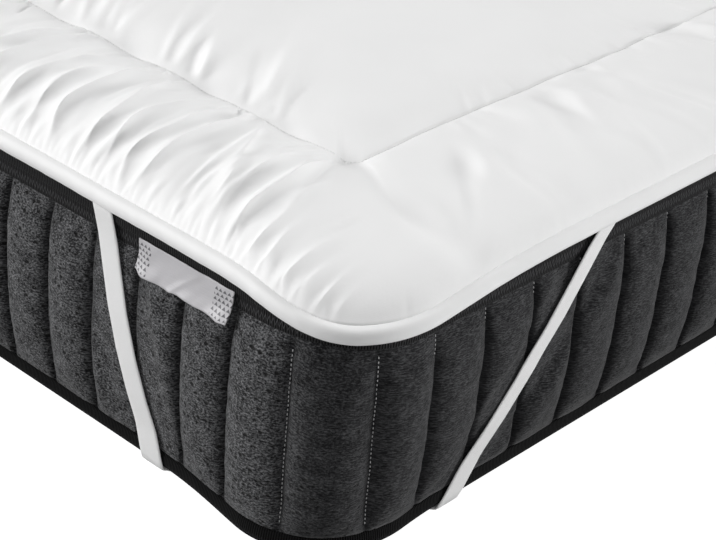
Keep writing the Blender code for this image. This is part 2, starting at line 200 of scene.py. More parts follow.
# Stitches: pitch, length and radius.
RIB_STITCH = (0.0035, 0.0021, 0.00040)
RIB_STITCH_HEIGHTS = np.linspace(0.021, 0.160, 40)
SEAM_STITCH = (0.0034, 0.0026, 0.00026)
SEAM_STITCH_STEPS = {"corner": 12, "short": 120, "long": 300}
SEAM_STITCH_PROUD = 0.0004

# Camera and light.
PHOTO_CAMERA = (
    # right, up, back, place
    (0.68864736, -0.72212631, 0.06556219),
    (0.32686639, 0.38987426, 0.86090442),
    (-0.64724275, -0.57142948, 0.50452470),
    (-1.2632, -1.7261, 0.8931),
)
LENS = 103.86
SENSOR = 36.0
LIGHTS = (
    # name, place, aim, width in metres, power in watts
    ("overhead", (-0.46, 2.02, 6.3), (-0.1, -0.5, 0.0), 4.3, 264.0),
    ("key", (-6.06, 4.62, 4.16), (-0.3, -0.6, 0.2), 2.34, 236.0),
    ("rim", (-4.26, 3.72, 1.59), (-0.3, -0.6, 0.15), 1.62, 127.0),
    ("right", (3.3, -3.9, 0.80), (0.2, -0.9, 0.1), 1.4, 168.0),
    ("front", (-1.6, -2.4, 1.3), (-0.3, -0.9, 0.2), 1.2, 11.0),
)
WORLD_LIGHT = 0.06
FLOOR_GLOW = 0.90

# Colours.
COVER_COLORS = ((0.89, 0.89, 0.89), (0.86, 0.86, 0.86))
EDGING_COLORS = ((0.87, 0.87, 0.87), (0.84, 0.84, 0.84))
KNIT_COLORS = ((0.003, 0.003, 0.004), (0.200, 0.202, 0.209))
DIMPLE_COLOR = (0.002, 0.002, 0.002)
TOP_TAPE_COLORS = ((0.002, 0.002, 0.002), (0.068, 0.067, 0.071))
FOOT_TAPE_COLORS = ((0.001, 0.001, 0.001), (0.010, 0.010, 0.011))
ELASTIC_COLORS = ((0.80, 0.80, 0.80), (0.93, 0.93, 0.93))
SATIN_COLORS = ((0.45, 0.44, 0.46), (0.59, 0.58, 0.60))
DOT_COLOR = (0.05, 0.05, 0.06)
FLOOR_COLORS = ((0.50, 0.50, 0.50), (0.53, 0.53, 0.53))
GREY_THREAD = (0.62, 0.62, 0.63)
WHITE_THREAD = (0.86, 0.86, 0.86)

ARC = CORNER_RADIUS * math.pi / 2
SHORT_RUN = 2 * (HALF_WIDTH - CORNER_RADIUS)
LONG_RUN = 2 * (HALF_LENGTH - CORNER_RADIUS)
LENGTHS = np.array((ARC, SHORT_RUN, ARC, LONG_RUN) * 2)
STARTS = np.concatenate(([0.0], np.cumsum(LENGTHS)[:-1]))
LOOP = float(LENGTHS.sum())
KINDS = ("corner", "short", "corner", "long") * 2
NEAR_START = LOOP + CORNER_RADIUS
SIDE_X = np.array((-1, 1, 1, -1))
SIDE_Y = np.array((-1, -1, 1, 1))


# The loop round the mattress. A place on it is a run: the distance along the foot line from the
# long side's end of the near corner, first along the near short end.

def locate(run):
    rest = np.mod(run, LOOP)
    piece = np.clip(np.searchsorted(STARTS, rest, side="right") - 1, 0, 7)
    return piece, (rest - STARTS[piece]) / LENGTHS[piece]


def ring_xy(run, inset_x, inset_y, radius):
    """Points of a rounded rectangle inset from the foot line, and which way out is."""
    piece, share = locate(run)
    corner = piece // 2
    after = (corner + 1) % 4
    bend = piece % 2 == 0
    turn = np.radians(np.where(bend, 180 + 90 * (corner + share), 270 + 90 * corner))
    along = np.where(bend, 0.0, share)
    half_x = HALF_WIDTH - inset_x - radius
    half_y = HALF_LENGTH - inset_y - radius
    x = half_x * (SIDE_X[corner] * (1 - along) + SIDE_X[after] * along) + radius * np.cos(turn)
    y = half_y * (SIDE_Y[corner] * (1 - along) + SIDE_Y[after] * along) + radius * np.sin(turn)
    return x, y, np.cos(turn), np.sin(turn)


def ring_at(run, inset, radius, height):
    """Points of a rounded rectangle at a height."""
    x, y, _, _ = ring_xy(run, inset, inset, radius)
    return np.stack(np.broadcast_arrays(x, y, height), axis=-1)


def offset_ring(run, offset, height):
    return ring_at(run, -offset, CORNER_RADIUS + offset, height)


def apart(run, middle):
    """How far a run lies past another, the short way round."""
    return np.mod(run - middle + LOOP / 2, LOOP) - LOOP / 2


def end_weight(run):
    """1 on the short ends, 0 on the long sides, and between them on the corners."""
    piece, share = locate(run)
    to_short = np.where((piece // 2) % 2 == 0, share, 1 - share)
    on_corner = np.sin(to_short * math.pi / 2) ** 2
    on_side = np.where(piece % 4 == 1, 1.0, 0.0)
    return np.where(piece % 2 == 0, on_corner, on_side)


def droop_weight(run):
    """1 where a corner of the pad hangs lowest, falling to 0 along both sides."""
    weight = 0.0
    for corner in range(4):
        toward_short = 1 if corner % 2 == 0 else -1
        share = DROOP_LOWEST if toward_short == 1 else 1 - DROOP_LOWEST
        away = apart(run, STARTS[2 * corner] + share * ARC)
        reach = np.where(away * toward_short > 0, DROOP_ALONG_SHORT, DROOP_ALONG_LONG)
        weight = weight + np.exp(-(away / reach) ** 2)
    return np.minimum(weight, 1.0)


def blend_sides(run, values):
    long_value, short_value, corner_value = values
    side = long_value + (short_value - long_value) * end_weight(run)
    return side + (corner_value - side) * droop_weight(run)


def flare(run, height):
    """The foot flares out on the long side of each corner."""
    weight = 0.0
    for corner in range(4):
        if corner % 2 == 0:
            middle = STARTS[2 * corner] + FLARE_PAST_CORNER
        else:
            middle = STARTS[2 * corner + 1] - FLARE_PAST_CORNER
        weight = weight + np.exp(-(apart(run, middle) / FLARE_REACH) ** 2)
    return FOOT_FLARE * weight * np.maximum(0.0, 1 - height / FLARE_HEIGHT) ** 2


def side_points(run, stand_off, height):
    """Points of the mattress's side, or of what lies on it."""
    lean = END_LEAN * end_weight(run) * np.clip(2 * height / TAPE_TOP - 1, 0.0, 1.0)
    return offset_ring(run, stand_off + lean + flare(run, height), height)


def tape_foot(run):
    return TAPE_FOOT_LONG + (TAPE_FOOT_SHORT - TAPE_FOOT_LONG) * end_weight(run)


def curve(x, rows, column):
    """A smooth line through one column of a table, whose first column is x."""
    xs, ys = rows[:, 0], rows[:, column]
    steps = np.diff(ys) / np.diff(xs)
    slopes = np.concatenate(([steps[0]], (steps[1:] + steps[:-1]) / 2, [steps[-1]]))
    slopes[1:-1][steps[1:] * steps[:-1] <= 0] = 0.0
    x = np.clip(x, xs[0], xs[-1])
    k = np.clip(np.searchsorted(xs, x, side="right") - 1, 0, len(xs) - 2)
    width = xs[k + 1] - xs[k]
    t = (x - xs[k]) / width
    return (ys[k] * (1 + 2 * t) * (1 - t) ** 2 + ys[k + 1] * t * t * (3 - 2 * t)
            + width * t * (1 - t) * (slopes[k] * (1 - t) - slopes[k + 1] * t))


def smooth_step(low, high, x):
    t = np.clip((x - low) / (high - low), 0.0, 1.0)
    return t * t * (3 - 2 * t)


def soft_noise(x, y, seed):
    """Smooth noise from -1 to 1 with lumps about one unit across."""
    x, y = np.broadcast_arrays(np.asarray(x, float), np.asarray(y, float))
    size = 256
    lattice = np.random.default_rng(seed).uniform(-1, 1, (size, size))
    column, row = np.floor(x).astype(int), np.floor(y).astype(int)
    tx, ty = x - column, y - row
    tx, ty = tx * tx * (3 - 2 * tx), ty * ty * (3 - 2 * ty)

    def on_row(row):
        line = row % size
        return lattice[line, column % size] * (1 - tx) + lattice[line, (column + 1) % size] * tx

    return on_row(row) * (1 - ty) + on_row(row + 1) * ty


def noise_along(run, lump, seed):
    """Smooth noise along the loop, with lumps of the given length."""
    return soft_noise(run / lump, run * 0, seed)


def spaced_runs(steps):
    """Runs with the same number of steps on each piece of a kind."""
    return np.concatenate([
        start + length * np.arange(steps[kind]) / steps[kind]
        for start, length, kind in zip(STARTS, LENGTHS, KINDS)])


def seam_runs():
    """The run of each valley seam between two ribs."""
    seams = []
    for index, (start, length, kind) in enumerate(zip(STARTS, LENGTHS, KINDS)):
        if kind == "corner":
            turned = (index // 2) % 2 == 1
            shares = sorted(1 - s for s in CORNER_SEAMS) if turned else CORNER_SEAMS
            seams += [start + share * length for share in shares]
        elif kind == "short":
            seams += [start + SHORT_FIRST_SEAM + SHORT_SEAM_PITCH * n for n in range(SHORT_SEAMS)]
        else:
            seams += [start + LONG_FIRST_SEAM + LONG_SEAM_PITCH * n for n in range(LONG_SEAMS)]
    return np.array(seams)


# Making meshes.

def bend_grid(name, points, along, across, material,
              wrap_columns=True, wrap_rows=False, marks=None):
    """A grid bent so that its vertices take the given places, welded where it closes."""
    rows, columns = points.shape[:2]
    x_segments = columns if wrap_columns else columns - 1
    y_segments = rows if wrap_rows else rows - 1
    shape = bmesh.new()
    bmesh.ops.create_grid(shape, x_segments=x_segments, y_segments=y_segments, size=0.5)
    mesh = bpy.data.meshes.new(name)
    shape.to_mesh(mesh)
    shape.free()
    flat = np.empty(len(mesh.vertices) * 3)
    mesh.vertices.foreach_get("co", flat)
    column = np.rint((flat[0::3] + 0.5) * x_segments).astype(int)
    row = np.rint((flat[1::3] + 0.5) * y_segments).astype(int)
    mesh.vertices.foreach_set("co", points[row % rows, column % columns].astype(float).ravel())
    corner = np.empty(len(mesh.loops), int)
    mesh.loops.foreach_get("vertex_index", corner)
    layer = mesh.uv_layers.new(name="UVMap")
    uv = np.stack((along[column[corner]], across[row[corner]]), axis=-1)
    layer.data.foreach_set("uv", uv.ravel())
    for mark, values in (marks or {}).items():
        attribute = mesh.attributes.new(mark, "FLOAT", "POINT")
        attribute.data.foreach_set("value", values[row % rows, column % columns].ravel())
    shape = bmesh.new()
    shape.from_mesh(mesh)
    border = [v for v in shape.verts if v.is_boundary]
    bmesh.ops.remove_doubles(shape, verts=border, dist=1e-6)
    holes = [e for e in shape.edges if e.is_boundary]
    if holes:
        bmesh.ops.holes_fill(shape, edges=holes, sides=0)
    return finish_piece(name, shape, material, mesh)


def finish_piece(name, shape, material, mesh=None, sharp=None):
    bmesh.ops.recalc_face_normals(shape, faces=shape.faces[:])
    mesh = mesh or bpy.data.meshes.new(name)
    shape.to_mesh(mesh)
    shape.free()
    mesh.materials.append(material)
    mesh.shade_smooth()
    if sharp:
        mesh.set_sharp_from_angle(angle=math.radians(sharp))
    piece = bpy.data.objects.new(name, mesh)
    bpy.context.scene.collection.objects.link(piece)
    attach(piece, "root")
    return piece


def distances(points):
    """How far along a line each of its points lies."""
    steps = np.linalg.norm(np.diff(points, axis=0), axis=1)
    return np.concatenate(([0.0], np.cumsum(steps)))


def close_loop(runs):
    """The runs with the first one again at the end, one loop further."""
    return np.concatenate((runs, [runs[0] + LOOP]))


# Materials. The one group puts out a height; shaders stay in the materials.

def new_group(name, inputs, outputs):
    group = bpy.data.node_groups.new(name, "ShaderNodeTree")
    for label, kind, value in inputs:
        socket = group.interface.new_socket(name=label, in_out="INPUT", socket_type=kind)
        if value is not None:
            socket.default_value = value
    for label, kind in outputs:
        group.interface.new_socket(name=label, in_out="OUTPUT", socket_type=kind)
    return group, group.nodes.new("NodeGroupInput"), group.nodes.new("NodeGroupOutput")


def add_math(tree, operation, first, second=None, third=None):
    node = tree.nodes.new("ShaderNodeMath")
    node.operation = operation
    for socket, value in zip(node.inputs, (first, second, third)):
        if value is None:
            continue
        if isinstance(value, (int, float)):
            socket.default_value = value
        else:
            tree.links.new(value, socket)
    return node.outputs[0]


def multiply(tree, first, second):
    return add_math(tree, "MULTIPLY", first, second)


def add_noise(tree, vector, scale, detail=2.0, roughness=0.5):
    node = tree.nodes.new("ShaderNodeTexNoise")
    node.inputs["Scale"].default_value = scale
    node.inputs["Detail"].default_value = detail
    node.inputs["Roughness"].default_value = roughness
    tree.links.new(vector, node.inputs["Vector"])
    return node.outputs["Fac"]


def add_range(tree, value, low, high, to_low=0.0, to_high=1.0):
    node = tree.nodes.new("ShaderNodeMapRange")
    ends = {"From Min": low, "From Max": high, "To Min": to_low, "To Max": to_high}
    for name, number in ends.items():
        node.inputs[name].default_value = number
    tree.links.new(value, node.inputs["Value"])
    return node.outputs["Result"]


def add_stretch(tree, vector, scale):
    node = tree.nodes.new("ShaderNodeMapping")
    node.inputs["Scale"].default_value = scale
    tree.links.new(vector, node.inputs["Vector"])
    return node.outputs["Vector"]


def mix_colors(tree, factor, first, second):
    node = tree.nodes.new("ShaderNodeMix")
    node.data_type = "RGBA"
    sockets = (node.inputs[0], node.inputs[6], node.inputs[7])
    for socket, value in zip(sockets, (factor, first, second)):
        if isinstance(value, tuple):
            socket.default_value = (*value, 1.0)
        elif isinstance(value, (int, float)):
            socket.default_value = value
        else:
            tree.links.new(value, socket)
    return node.outputs[2]


def new_material(name, roughness, sheen=0.0, specular=0.5):
    material = bpy.data.materials.new(name)
    material.use_nodes = True
    tree = material.node_tree
    shader = tree.nodes["Principled BSDF"]
    shader.inputs["Roughness"].default_value = roughness
    shader.inputs["Sheen Weight"].default_value = sheen
    shader.inputs["Specular IOR Level"].default_value = specular
    return material, tree, shader


def add_bump(tree, shader, height, distance, strength=1.0):
    node = tree.nodes.new("ShaderNodeBump")
    node.inputs["Distance"].default_value = distance
    node.inputs["Strength"].default_value = strength
    tree.links.new(height, node.inputs["Height"])
    tree.links.new(node.outputs["Normal"], shader.inputs["Normal"])


def uv_output(tree):
    return tree.nodes.new("ShaderNodeTexCoord").outputs["UV"]


def object_output(tree):
    return tree.nodes.new("ShaderNodeTexCoord").outputs["Object"]


def split_vector(tree, vector):
    node = tree.nodes.new("ShaderNodeSeparateXYZ")
    tree.links.new(vector, node.inputs[0])
    return node.outputs["X"], node.outputs["Y"]


def add_mark(tree, name):
    node = tree.nodes.new("ShaderNodeAttribute")
    node.attribute_name = name
    return node.outputs["Fac"]


def add_waves(tree, value, pitch):
    return add_math(tree, "SINE", multiply(tree, value, 2 * math.pi / pitch))


def set_color(tree, shader, color):
    tree.links.new(color, shader.inputs["Base Color"])


def make_weave_group():
    """A plain weave: threads over and under each other, as a height from 0 to 1."""
    group, given, result = new_group(
        "plain_weave",
        (("Vector", "NodeSocketVector", None), ("Threads per metre", "NodeSocketFloat", 1500.0)),
        (("Height", "NodeSocketFloat"),))
    x, y = split_vector(group, given.outputs["Vector"])
    turns = multiply(group, given.outputs["Threads per metre"], math.pi)
    warp = add_math(group, "SINE", multiply(group, x, turns))
    weft = add_math(group, "SINE", multiply(group, y, turns))
    height = add_math(group, "MULTIPLY_ADD", multiply(group, warp, weft), 0.5, 0.5)
    group.links.new(height, result.inputs["Height"])
    return group


WEAVE = make_weave_group()


def add_weave(tree, vector, threads):
    node = tree.nodes.new("ShaderNodeGroup")
    node.node_tree = WEAVE
    node.inputs["Threads per metre"].default_value = threads
    tree.links.new(vector, node.inputs["Vector"])
    return node.outputs["Height"]


def make_cloth(name, colors, threads):
    """White cotton-like cloth with a fine weave and faint uneven brightness."""
    material, tree, shader = new_material(name, 0.72, sheen=0.15, specular=0.25)
    vector = object_output(tree)
    patches = add_range(tree, add_noise(tree, vector, 9.0, 3.0), 0.3, 0.7)
    light, shade = colors
    set_color(tree, shader, mix_colors(tree, patches, shade, light))
    weave = add_weave(tree, vector, threads)
    slubs = add_noise(tree, vector, 260.0, 3.0, 0.6)
    height = add_math(tree, "MULTIPLY_ADD", slubs, 4.0, weave)
    add_bump(tree, shader, height, 0.00004, 0.5)
    return material


def make_knit():
    """Charcoal marl knit with small dark dimples, on the run and the height in metres."""
    material, tree, shader = new_material("charcoal_marl", 0.95, sheen=0.12, specular=0.15)
    vector = uv_output(tree)
    long_side = add_mark(tree, "long_side")
    # The marl: fine speckle on the long sides, and level streaks on the short ends.
    speckle = add_noise(tree, add_stretch(tree, vector, (0.9, 1.2, 1.0)), 620.0, 2.0, 0.75)
    streaks = add_noise(tree, add_stretch(tree, vector, (0.40, 2.0, 1.0)), 560.0, 2.0, 0.7)
    patches = add_noise(tree, vector, 95.0, 3.0)
    mixed = tree.nodes.new("ShaderNodeMix")
    speckle_share = add_range(tree, long_side, 0.0, 1.0, 0.30, 0.85)
    sockets = (mixed.inputs[0], mixed.inputs[2], mixed.inputs[3])
    for socket, value in zip(sockets, (speckle_share, streaks, speckle)):
        tree.links.new(value, socket)
    marl = add_math(tree, "MULTIPLY_ADD", patches, 0.24, mixed.outputs[0])
    light = add_math(tree, "POWER", add_range(tree, marl, 0.495, 0.755), 1.6)
    # Painted shade: darker round the corners to the short ends.
    light = multiply(tree, light, add_range(tree, long_side, 0.70, 0.92, 0.40, 1.0))
    # Painted shade: darker in the valleys between the ribs.
    valley = add_mark(tree, "valley")
    light = multiply(tree, light, add_range(tree, valley, 0.0, 1.0, 1.0, 0.35))
    color = mix_colors(tree, light, *KNIT_COLORS)
    # The dimples: on some of the cells only, and fainter on the short ends.
    cells = tree.nodes.new("ShaderNodeTexVoronoi")
    cells.inputs["Scale"].default_value = 200.0
    cells.inputs["Randomness"].default_value = 0.8
    tree.links.new(add_stretch(tree, vector, (0.85, 1.0, 1.0)), cells.inputs["Vector"])
    dimple = add_range(tree, cells.outputs["Distance"], 0.20, 0.38, 1.0, 0.0)
    shown = add_range(tree, add_noise(tree, vector, 330.0, 1.0), 0.36, 0.46)
    dimple = multiply(tree, dimple, shown)
    dimple = multiply(tree, dimple, add_range(tree, long_side, 0.0, 1.0, 0.25, 1.0))
    set_color(tree, shader, mix_colors(tree, multiply(tree, dimple, 0.92), color, DIMPLE_COLOR))
    height = add_math(tree, "MULTIPLY_ADD", dimple, -1.5, marl)
    add_bump(tree, shader, height, 0.0009, 0.8)
    return material


def make_tape_material(name, colors, pitch, low_edge, high_edge):
    """Woven tape with upright ribs, and a lighter zigzag row between two heights. On the foot tape
    that row is a painted sheen line: a painted highlight.
    """
    material, tree, shader = new_material(name, 0.85, sheen=0.03, specular=0.10)
    vector = uv_output(tree)
    along, across = split_vector(tree, vector)
    ribs = add_math(tree, "MULTIPLY_ADD", add_waves(tree, along, pitch), 0.5, 0.5)
    fuzz = add_noise(tree, vector, 1500.0, 2.0, 0.6)
    reach = 0.0016
    zigzag_and_sheen = add_math(tree, "PINGPONG", along, reach)
    zigzag_and_sheen = multiply(tree, zigzag_and_sheen, (high_edge - low_edge) / reach)
    zigzag_and_sheen = add_math(tree, "SUBTRACT", across, add_math(tree, "ADD", zigzag_and_sheen, low_edge))
    zigzag_and_sheen = add_range(tree, add_math(tree, "ABSOLUTE", zigzag_and_sheen), 0.0004, 0.0011, 1.0, 0.0)
    tone = multiply(tree, add_math(tree, "POWER", ribs, 2.0), fuzz)
    # The lighter row: a zigzag on the top tape, a painted sheen line on the foot tape.
    tone = add_math(tree, "MAXIMUM", tone, multiply(tree, zigzag_and_sheen, 1.2))
    set_color(tree, shader, mix_colors(tree, tone, *colors))
    height = add_math(tree, "ADD", ribs, multiply(tree, zigzag_and_sheen, 0.8))
    height = add_math(tree, "MULTIPLY_ADD", fuzz, 0.5, height)
    add_bump(tree, shader, height, 0.0005, 0.8)
    return material


def make_elastic():
    """Woven elastic: fine ribs along its length, and small crossings."""
    material, tree, shader = new_material("white_elastic", 0.75, sheen=0.1, specular=0.3)
    vector = uv_output(tree)
    along, across = split_vector(tree, vector)
    ribs = add_waves(tree, across, 0.0011)
    crossings = add_waves(tree, along, 0.0009)
    weave = add_math(tree, "MULTIPLY_ADD", multiply(tree, ribs, crossings), 0.25, ribs)
    tone = add_range(tree, weave, -1.2, 1.2)
    fuzz = add_noise(tree, vector, 900.0, 2.0)
    tone = add_math(tree, "MULTIPLY_ADD", fuzz, 0.3, tone)
    set_color(tree, shader, mix_colors(tree, add_range(tree, tone, 0.0, 1.2), *ELASTIC_COLORS))
    add_bump(tree, shader, tone, 0.0002, 0.8)
    return material


def make_satin():
    """White satin with small dark triangles in rows at both ends."""
    material, tree, shader = new_material("white_satin", 0.42, sheen=0.2, specular=0.5)
    vector = uv_output(tree)
    threads = add_noise(tree, add_stretch(tree, vector, (60.0, 2600.0, 1.0)), 1.0, 2.0)
    color = mix_colors(tree, threads, *SATIN_COLORS)
    along, across = split_vector(tree, vector)
    # Each triangle's own place, with every other row moved by half a step.
    row = add_math(tree, "FLOOR", add_math(tree, "DIVIDE", across, DOT_PITCH))
    shift = multiply(tree, add_math(tree, "MODULO", row, 2.0), 0.5)
    u = add_math(tree, "ADD", add_math(tree, "DIVIDE", along, DOT_PITCH), shift)
    u = add_math(tree, "ABSOLUTE", add_math(tree, "SUBTRACT", add_math(tree, "FRACT", u), 0.5))
    v = add_math(tree, "FRACT", add_math(tree, "DIVIDE", across, DOT_PITCH))
    v = add_math(tree, "SUBTRACT", v, 0.5)
    slope = add_math(tree, "SUBTRACT", 0.38, add_math(tree, "MULTIPLY_ADD", u, 1.5, v))
    inside = add_math(tree, "MINIMUM", add_math(tree, "ADD", v, 0.30), slope)
    dots = add_range(tree, inside, -0.04, 0.06)
    # Only at the two ends, and not on the label's edges.
    first, last = DOT_ENDS
    low, high = DOT_MARGINS
    ends = add_math(tree, "ADD", add_math(tree, "LESS_THAN", along, first),
                    add_math(tree, "GREATER_THAN", along, LABEL_LENGTH - last))
    ends = multiply(tree, ends, add_math(tree, "GREATER_THAN", across, low))
    ends = multiply(tree, ends, add_math(tree, "LESS_THAN", across, LABEL_WIDTH - high))
    printed = multiply(tree, multiply(tree, dots, ends), 0.9)
    set_color(tree, shader, mix_colors(tree, printed, color, DOT_COLOR))
    add_bump(tree, shader, threads, 0.00015, 0.6)
    return material


def make_thread(name, color):
    material, tree, shader = new_material(name, 0.6, sheen=0.1, specular=0.4)
    twist = add_noise(tree, object_output(tree), 2500.0, 1.0)
    shade = tuple(0.8 * part for part in color)
    set_color(tree, shader, mix_colors(tree, twist, shade, color))
    return material


def make_floor_material():
    material, tree, shader = new_material("pale_floor", 0.9, specular=0.1)
    tone = add_noise(tree, object_output(tree), 0.6, 2.0)
    set_color(tree, shader, mix_colors(tree, tone, *FLOOR_COLORS))
    # The camera sees it white, and the object doesn't.
    shader.inputs["Emission Color"].default_value = (1.0, 1.0, 1.0, 1.0)
    seen = tree.nodes.new("ShaderNodeLightPath").outputs["Is Camera Ray"]
    tree.links.new(multiply(tree, seen, FLOOR_GLOW), shader.inputs["Emission Strength"])
    return material


# The pad.

PAD_STEPS = {"corner": 60, "short": 190, "long": 1010}
BORDER_RINGS = 46
MIDDLE_STEPS = (0.0015, 0.0035, 0.006, 0.009, 0.012, 0.016, 0.021, 0.027, 0.034, 0.042, 0.051,
                0.061, 0.073, 0.087, 0.103, 0.122, 0.145, 0.172, 0.203, 0.238, 0.262, 0.278)
UNDER_INSETS = (0.420, 0.300, 0.180)
UNDER_RADIUS = 0.010
# The middle of the border's two widths, and a little for its slope.
SEAM_AWAY = (SEAM_INSET_LONG + SEAM_INSET_SHORT) / 2 + 0.006
SEAM_NEAR_SHARE = 1 - 0.0014 / SEAM_AWAY
FOLD_OVERHANG = 0.0045
STEEPEST = 0.5
SEAM_RELIEF = 0.0024
SEAM_GROOVE = 0.0012
BORDER_SWELL = 0.0021
MIDDLE_SWELL = 0.0022

# Main folds on the long side by the near corner: distance from the short end at the stitched
# rectangle, halfway and at the binding, then depth and half-width.
NEAR_FOLDS = (
    (0.130, 0.127, 0.104, 0.0042, 0.0095),
    (0.165, 0.150, 0.128, 0.0022, 0.0080),
    (0.222, 0.219, 0.203, 0.0046, 0.0100),
    (0.216, 0.168, 0.140, 0.0030, 0.0100),
    (0.238, 0.241, 0.218, 0.0040, 0.0090),
    (0.262, 0.265, 0.240, 0.0028, 0.0080),
    (0.296, 0.288, 0.255, 0.0036, 0.0090),
    (0.308, 0.325, 0.285, 0.0046, 0.0100),
    (0.320, 0.347, 0.318, 0.0030, 0.0085),
    (0.340, 0.371, 0.346, 0.0040, 0.0100),
    (0.396, 0.411, 0.384, 0.0044, 0.0095),
    (0.412, 0.436, 0.412, 0.0034, 0.0090),
)
# Folds that start at the edge near a corner: distance from the short end, how far they stray from
# it inwards, length, depth and half-width.
CORNER_FOLDS = (
    (0.089, 0.026, 0.110, 0.0028, 0.0075),
    (0.075, 0.016, 0.070, 0.0020, 0.0060),
    (0.058, 0.006, 0.068, 0.0024, 0.0062),
    (0.046, 0.004, 0.040, 0.0018, 0.0048),
    (0.035, 0.004, 0.046, 0.0019, 0.0050),
    (0.022, 0.001, 0.030, 0.0017, 0.0042),
)
# Gathered points of the seam, as distances from the short end: those by the near corner, then
# how the rest are spaced, then where the folds of each lie and how strong they are.
NEAR_STARS = (0.130, 0.232, 0.311, 0.410)
STAR_PITCH = 0.092
STAR_PITCH_RANGE = (0.85, 1.12)
STAR_SPREAD = ((-0.016, 0.8), (0.004, 1.0), (0.026, 0.75), (0.048, 0.6))
FOLD_DEPTH = 1.35
FOLD_WANDER = 0.004
LEAN_REACH = 0.4

# What the other folds are drawn from, in this order: a pair is a range, a list has the values to
# pick from. Lengths, steps, widths and depths are in metres.
FAR_FOLD = {"at the seam": (-0.004, 0.004), "halfway": (0.0, 0.020), "at the edge": (0.004, 0.026),
            "depth": (0.0040, 0.0058), "width": (0.0080, 0.0105)}
EDGE_FOLD = {"step": (0.010, 0.020), "length": (0.022, 0.060), "slant": (0.15, 0.55),
             "depth": (0.0008, 0.0019)}
EDGE_CREASE = {"step": (0.0045, 0.0090), "length": (0.009, 0.028), "slant": (0.1, 0.6),
               "depth": (0.0005, 0.0014)}
SEAM_CREASE = {"slant": (-0.9, 0.9), "length": (0.012, 0.038), "off": (-0.012, 0.012),
               "sign": [-1, 1], "depth": (0.0010, 0.0022)}
INNER_CREASE = {"slant": (0.05, 0.85), "length": (0.050, 0.170), "off": (-0.030, 0.022),
                "sign": [-0.7, 1, 1], "depth": (0.0007, 0.0014)}
INNER_FOLD = {"slant": (0.20, 0.65), "length": (0.16, 0.30), "off": (-0.02, 0.03),
              "depth": (0.0015, 0.0026)}
BRANCH = {"step": (0.014, 0.030), "middle": (0.30, 0.80), "reach": (0.12, 0.28),
          "slant": (-0.15, 0.55), "sign": [-0.7, 1, 1], "depth": (0.0010, 0.0024),
          "width": (0.0035, 0.0070)}
END_CREASE = {"place": (0.15, HALF_WIDTH), "slant": (-0.40, 0.30), "middle": (0.25, 0.95),
              "reach": (0.14, 0.32), "sign": [-1, 1, 1], "depth": (0.0008, 0.0019),
              "width": (0.0060, 0.0130)}
END_DENT = {"place": (0.08, HALF_WIDTH), "slant": (-0.7, 0.7), "middle": (0.25, 0.8),
            "reach": (0.18, 0.4), "sign": [-1, 1], "depth": (0.0015, 0.0030),
            "width": (0.014, 0.025)}
END_NICK = {"step": (0.016, 0.05), "length": (0.006, 0.016), "depth": (0.0003, 0.0008)}
END_SEAM_CREASE = {"place": (0.18, HALF_WIDTH), "slant": (-0.4, 0.4), "length": (0.024, 0.070),
                   "side": (0.0, 1.0), "sign": [-1, 1], "depth": (0.0004, 0.0010)}
SEAM_CREASES, INNER_CREASES, INNER_FOLDS = 7, 8, 3
END_CREASES, END_DENTS, END_SEAM_CREASES = 13, 13, 14

# Fine wrinkles: height, width across and length, then the size of the patches that they come in.
WRINKLE = 0.0014
WRINKLE_ACROSS, WRINKLE_ALONG = 0.0085, 0.040
PATCH_ACROSS, PATCH_ALONG = 0.040, 0.060


def draw(chance, kind):
    """One value for each entry of a kind, in its order."""
    return [chance.choice(entry) if isinstance(entry, list) else chance.uniform(*entry)
            for entry in kind.values()]


def rise_and_fade(depth, distance, rise, fade):
    """A depth that grows over one stretch of a distance and dies away over another."""
    return depth * smooth_step(*rise, distance) * (1 - smooth_step(*fade, distance))


def hump(depth, share, middle, reach):
    return depth * np.exp(-((share - middle) / reach) ** 2)


def lay_fold(height, runs, path, width, depth, skew=1.0):
    """Adds one fold: its path, half-width and depth have a value for each ring."""
    used = np.abs(depth) > 1e-5
    if not used.any():
        return
    reach = 3.4 * width[used].max()
    low, high = path[used].min() - reach, path[used].max() + reach
    columns = np.nonzero(np.mod(runs - low, LOOP) <= high - low)[0]
    if not len(columns):
        return
    x = apart(runs[columns][None, :], path[used][:, None]) / width[used][:, None]
    x = np.where(x > 0, x * skew, x / skew)
    profile = 1.25 * np.exp(-x * x) - 0.30 * np.exp(-(x / 2.3) ** 2)
    rows = np.nonzero(used)[0]
    height[np.ix_(rows, columns)] += depth[used][:, None] * profile


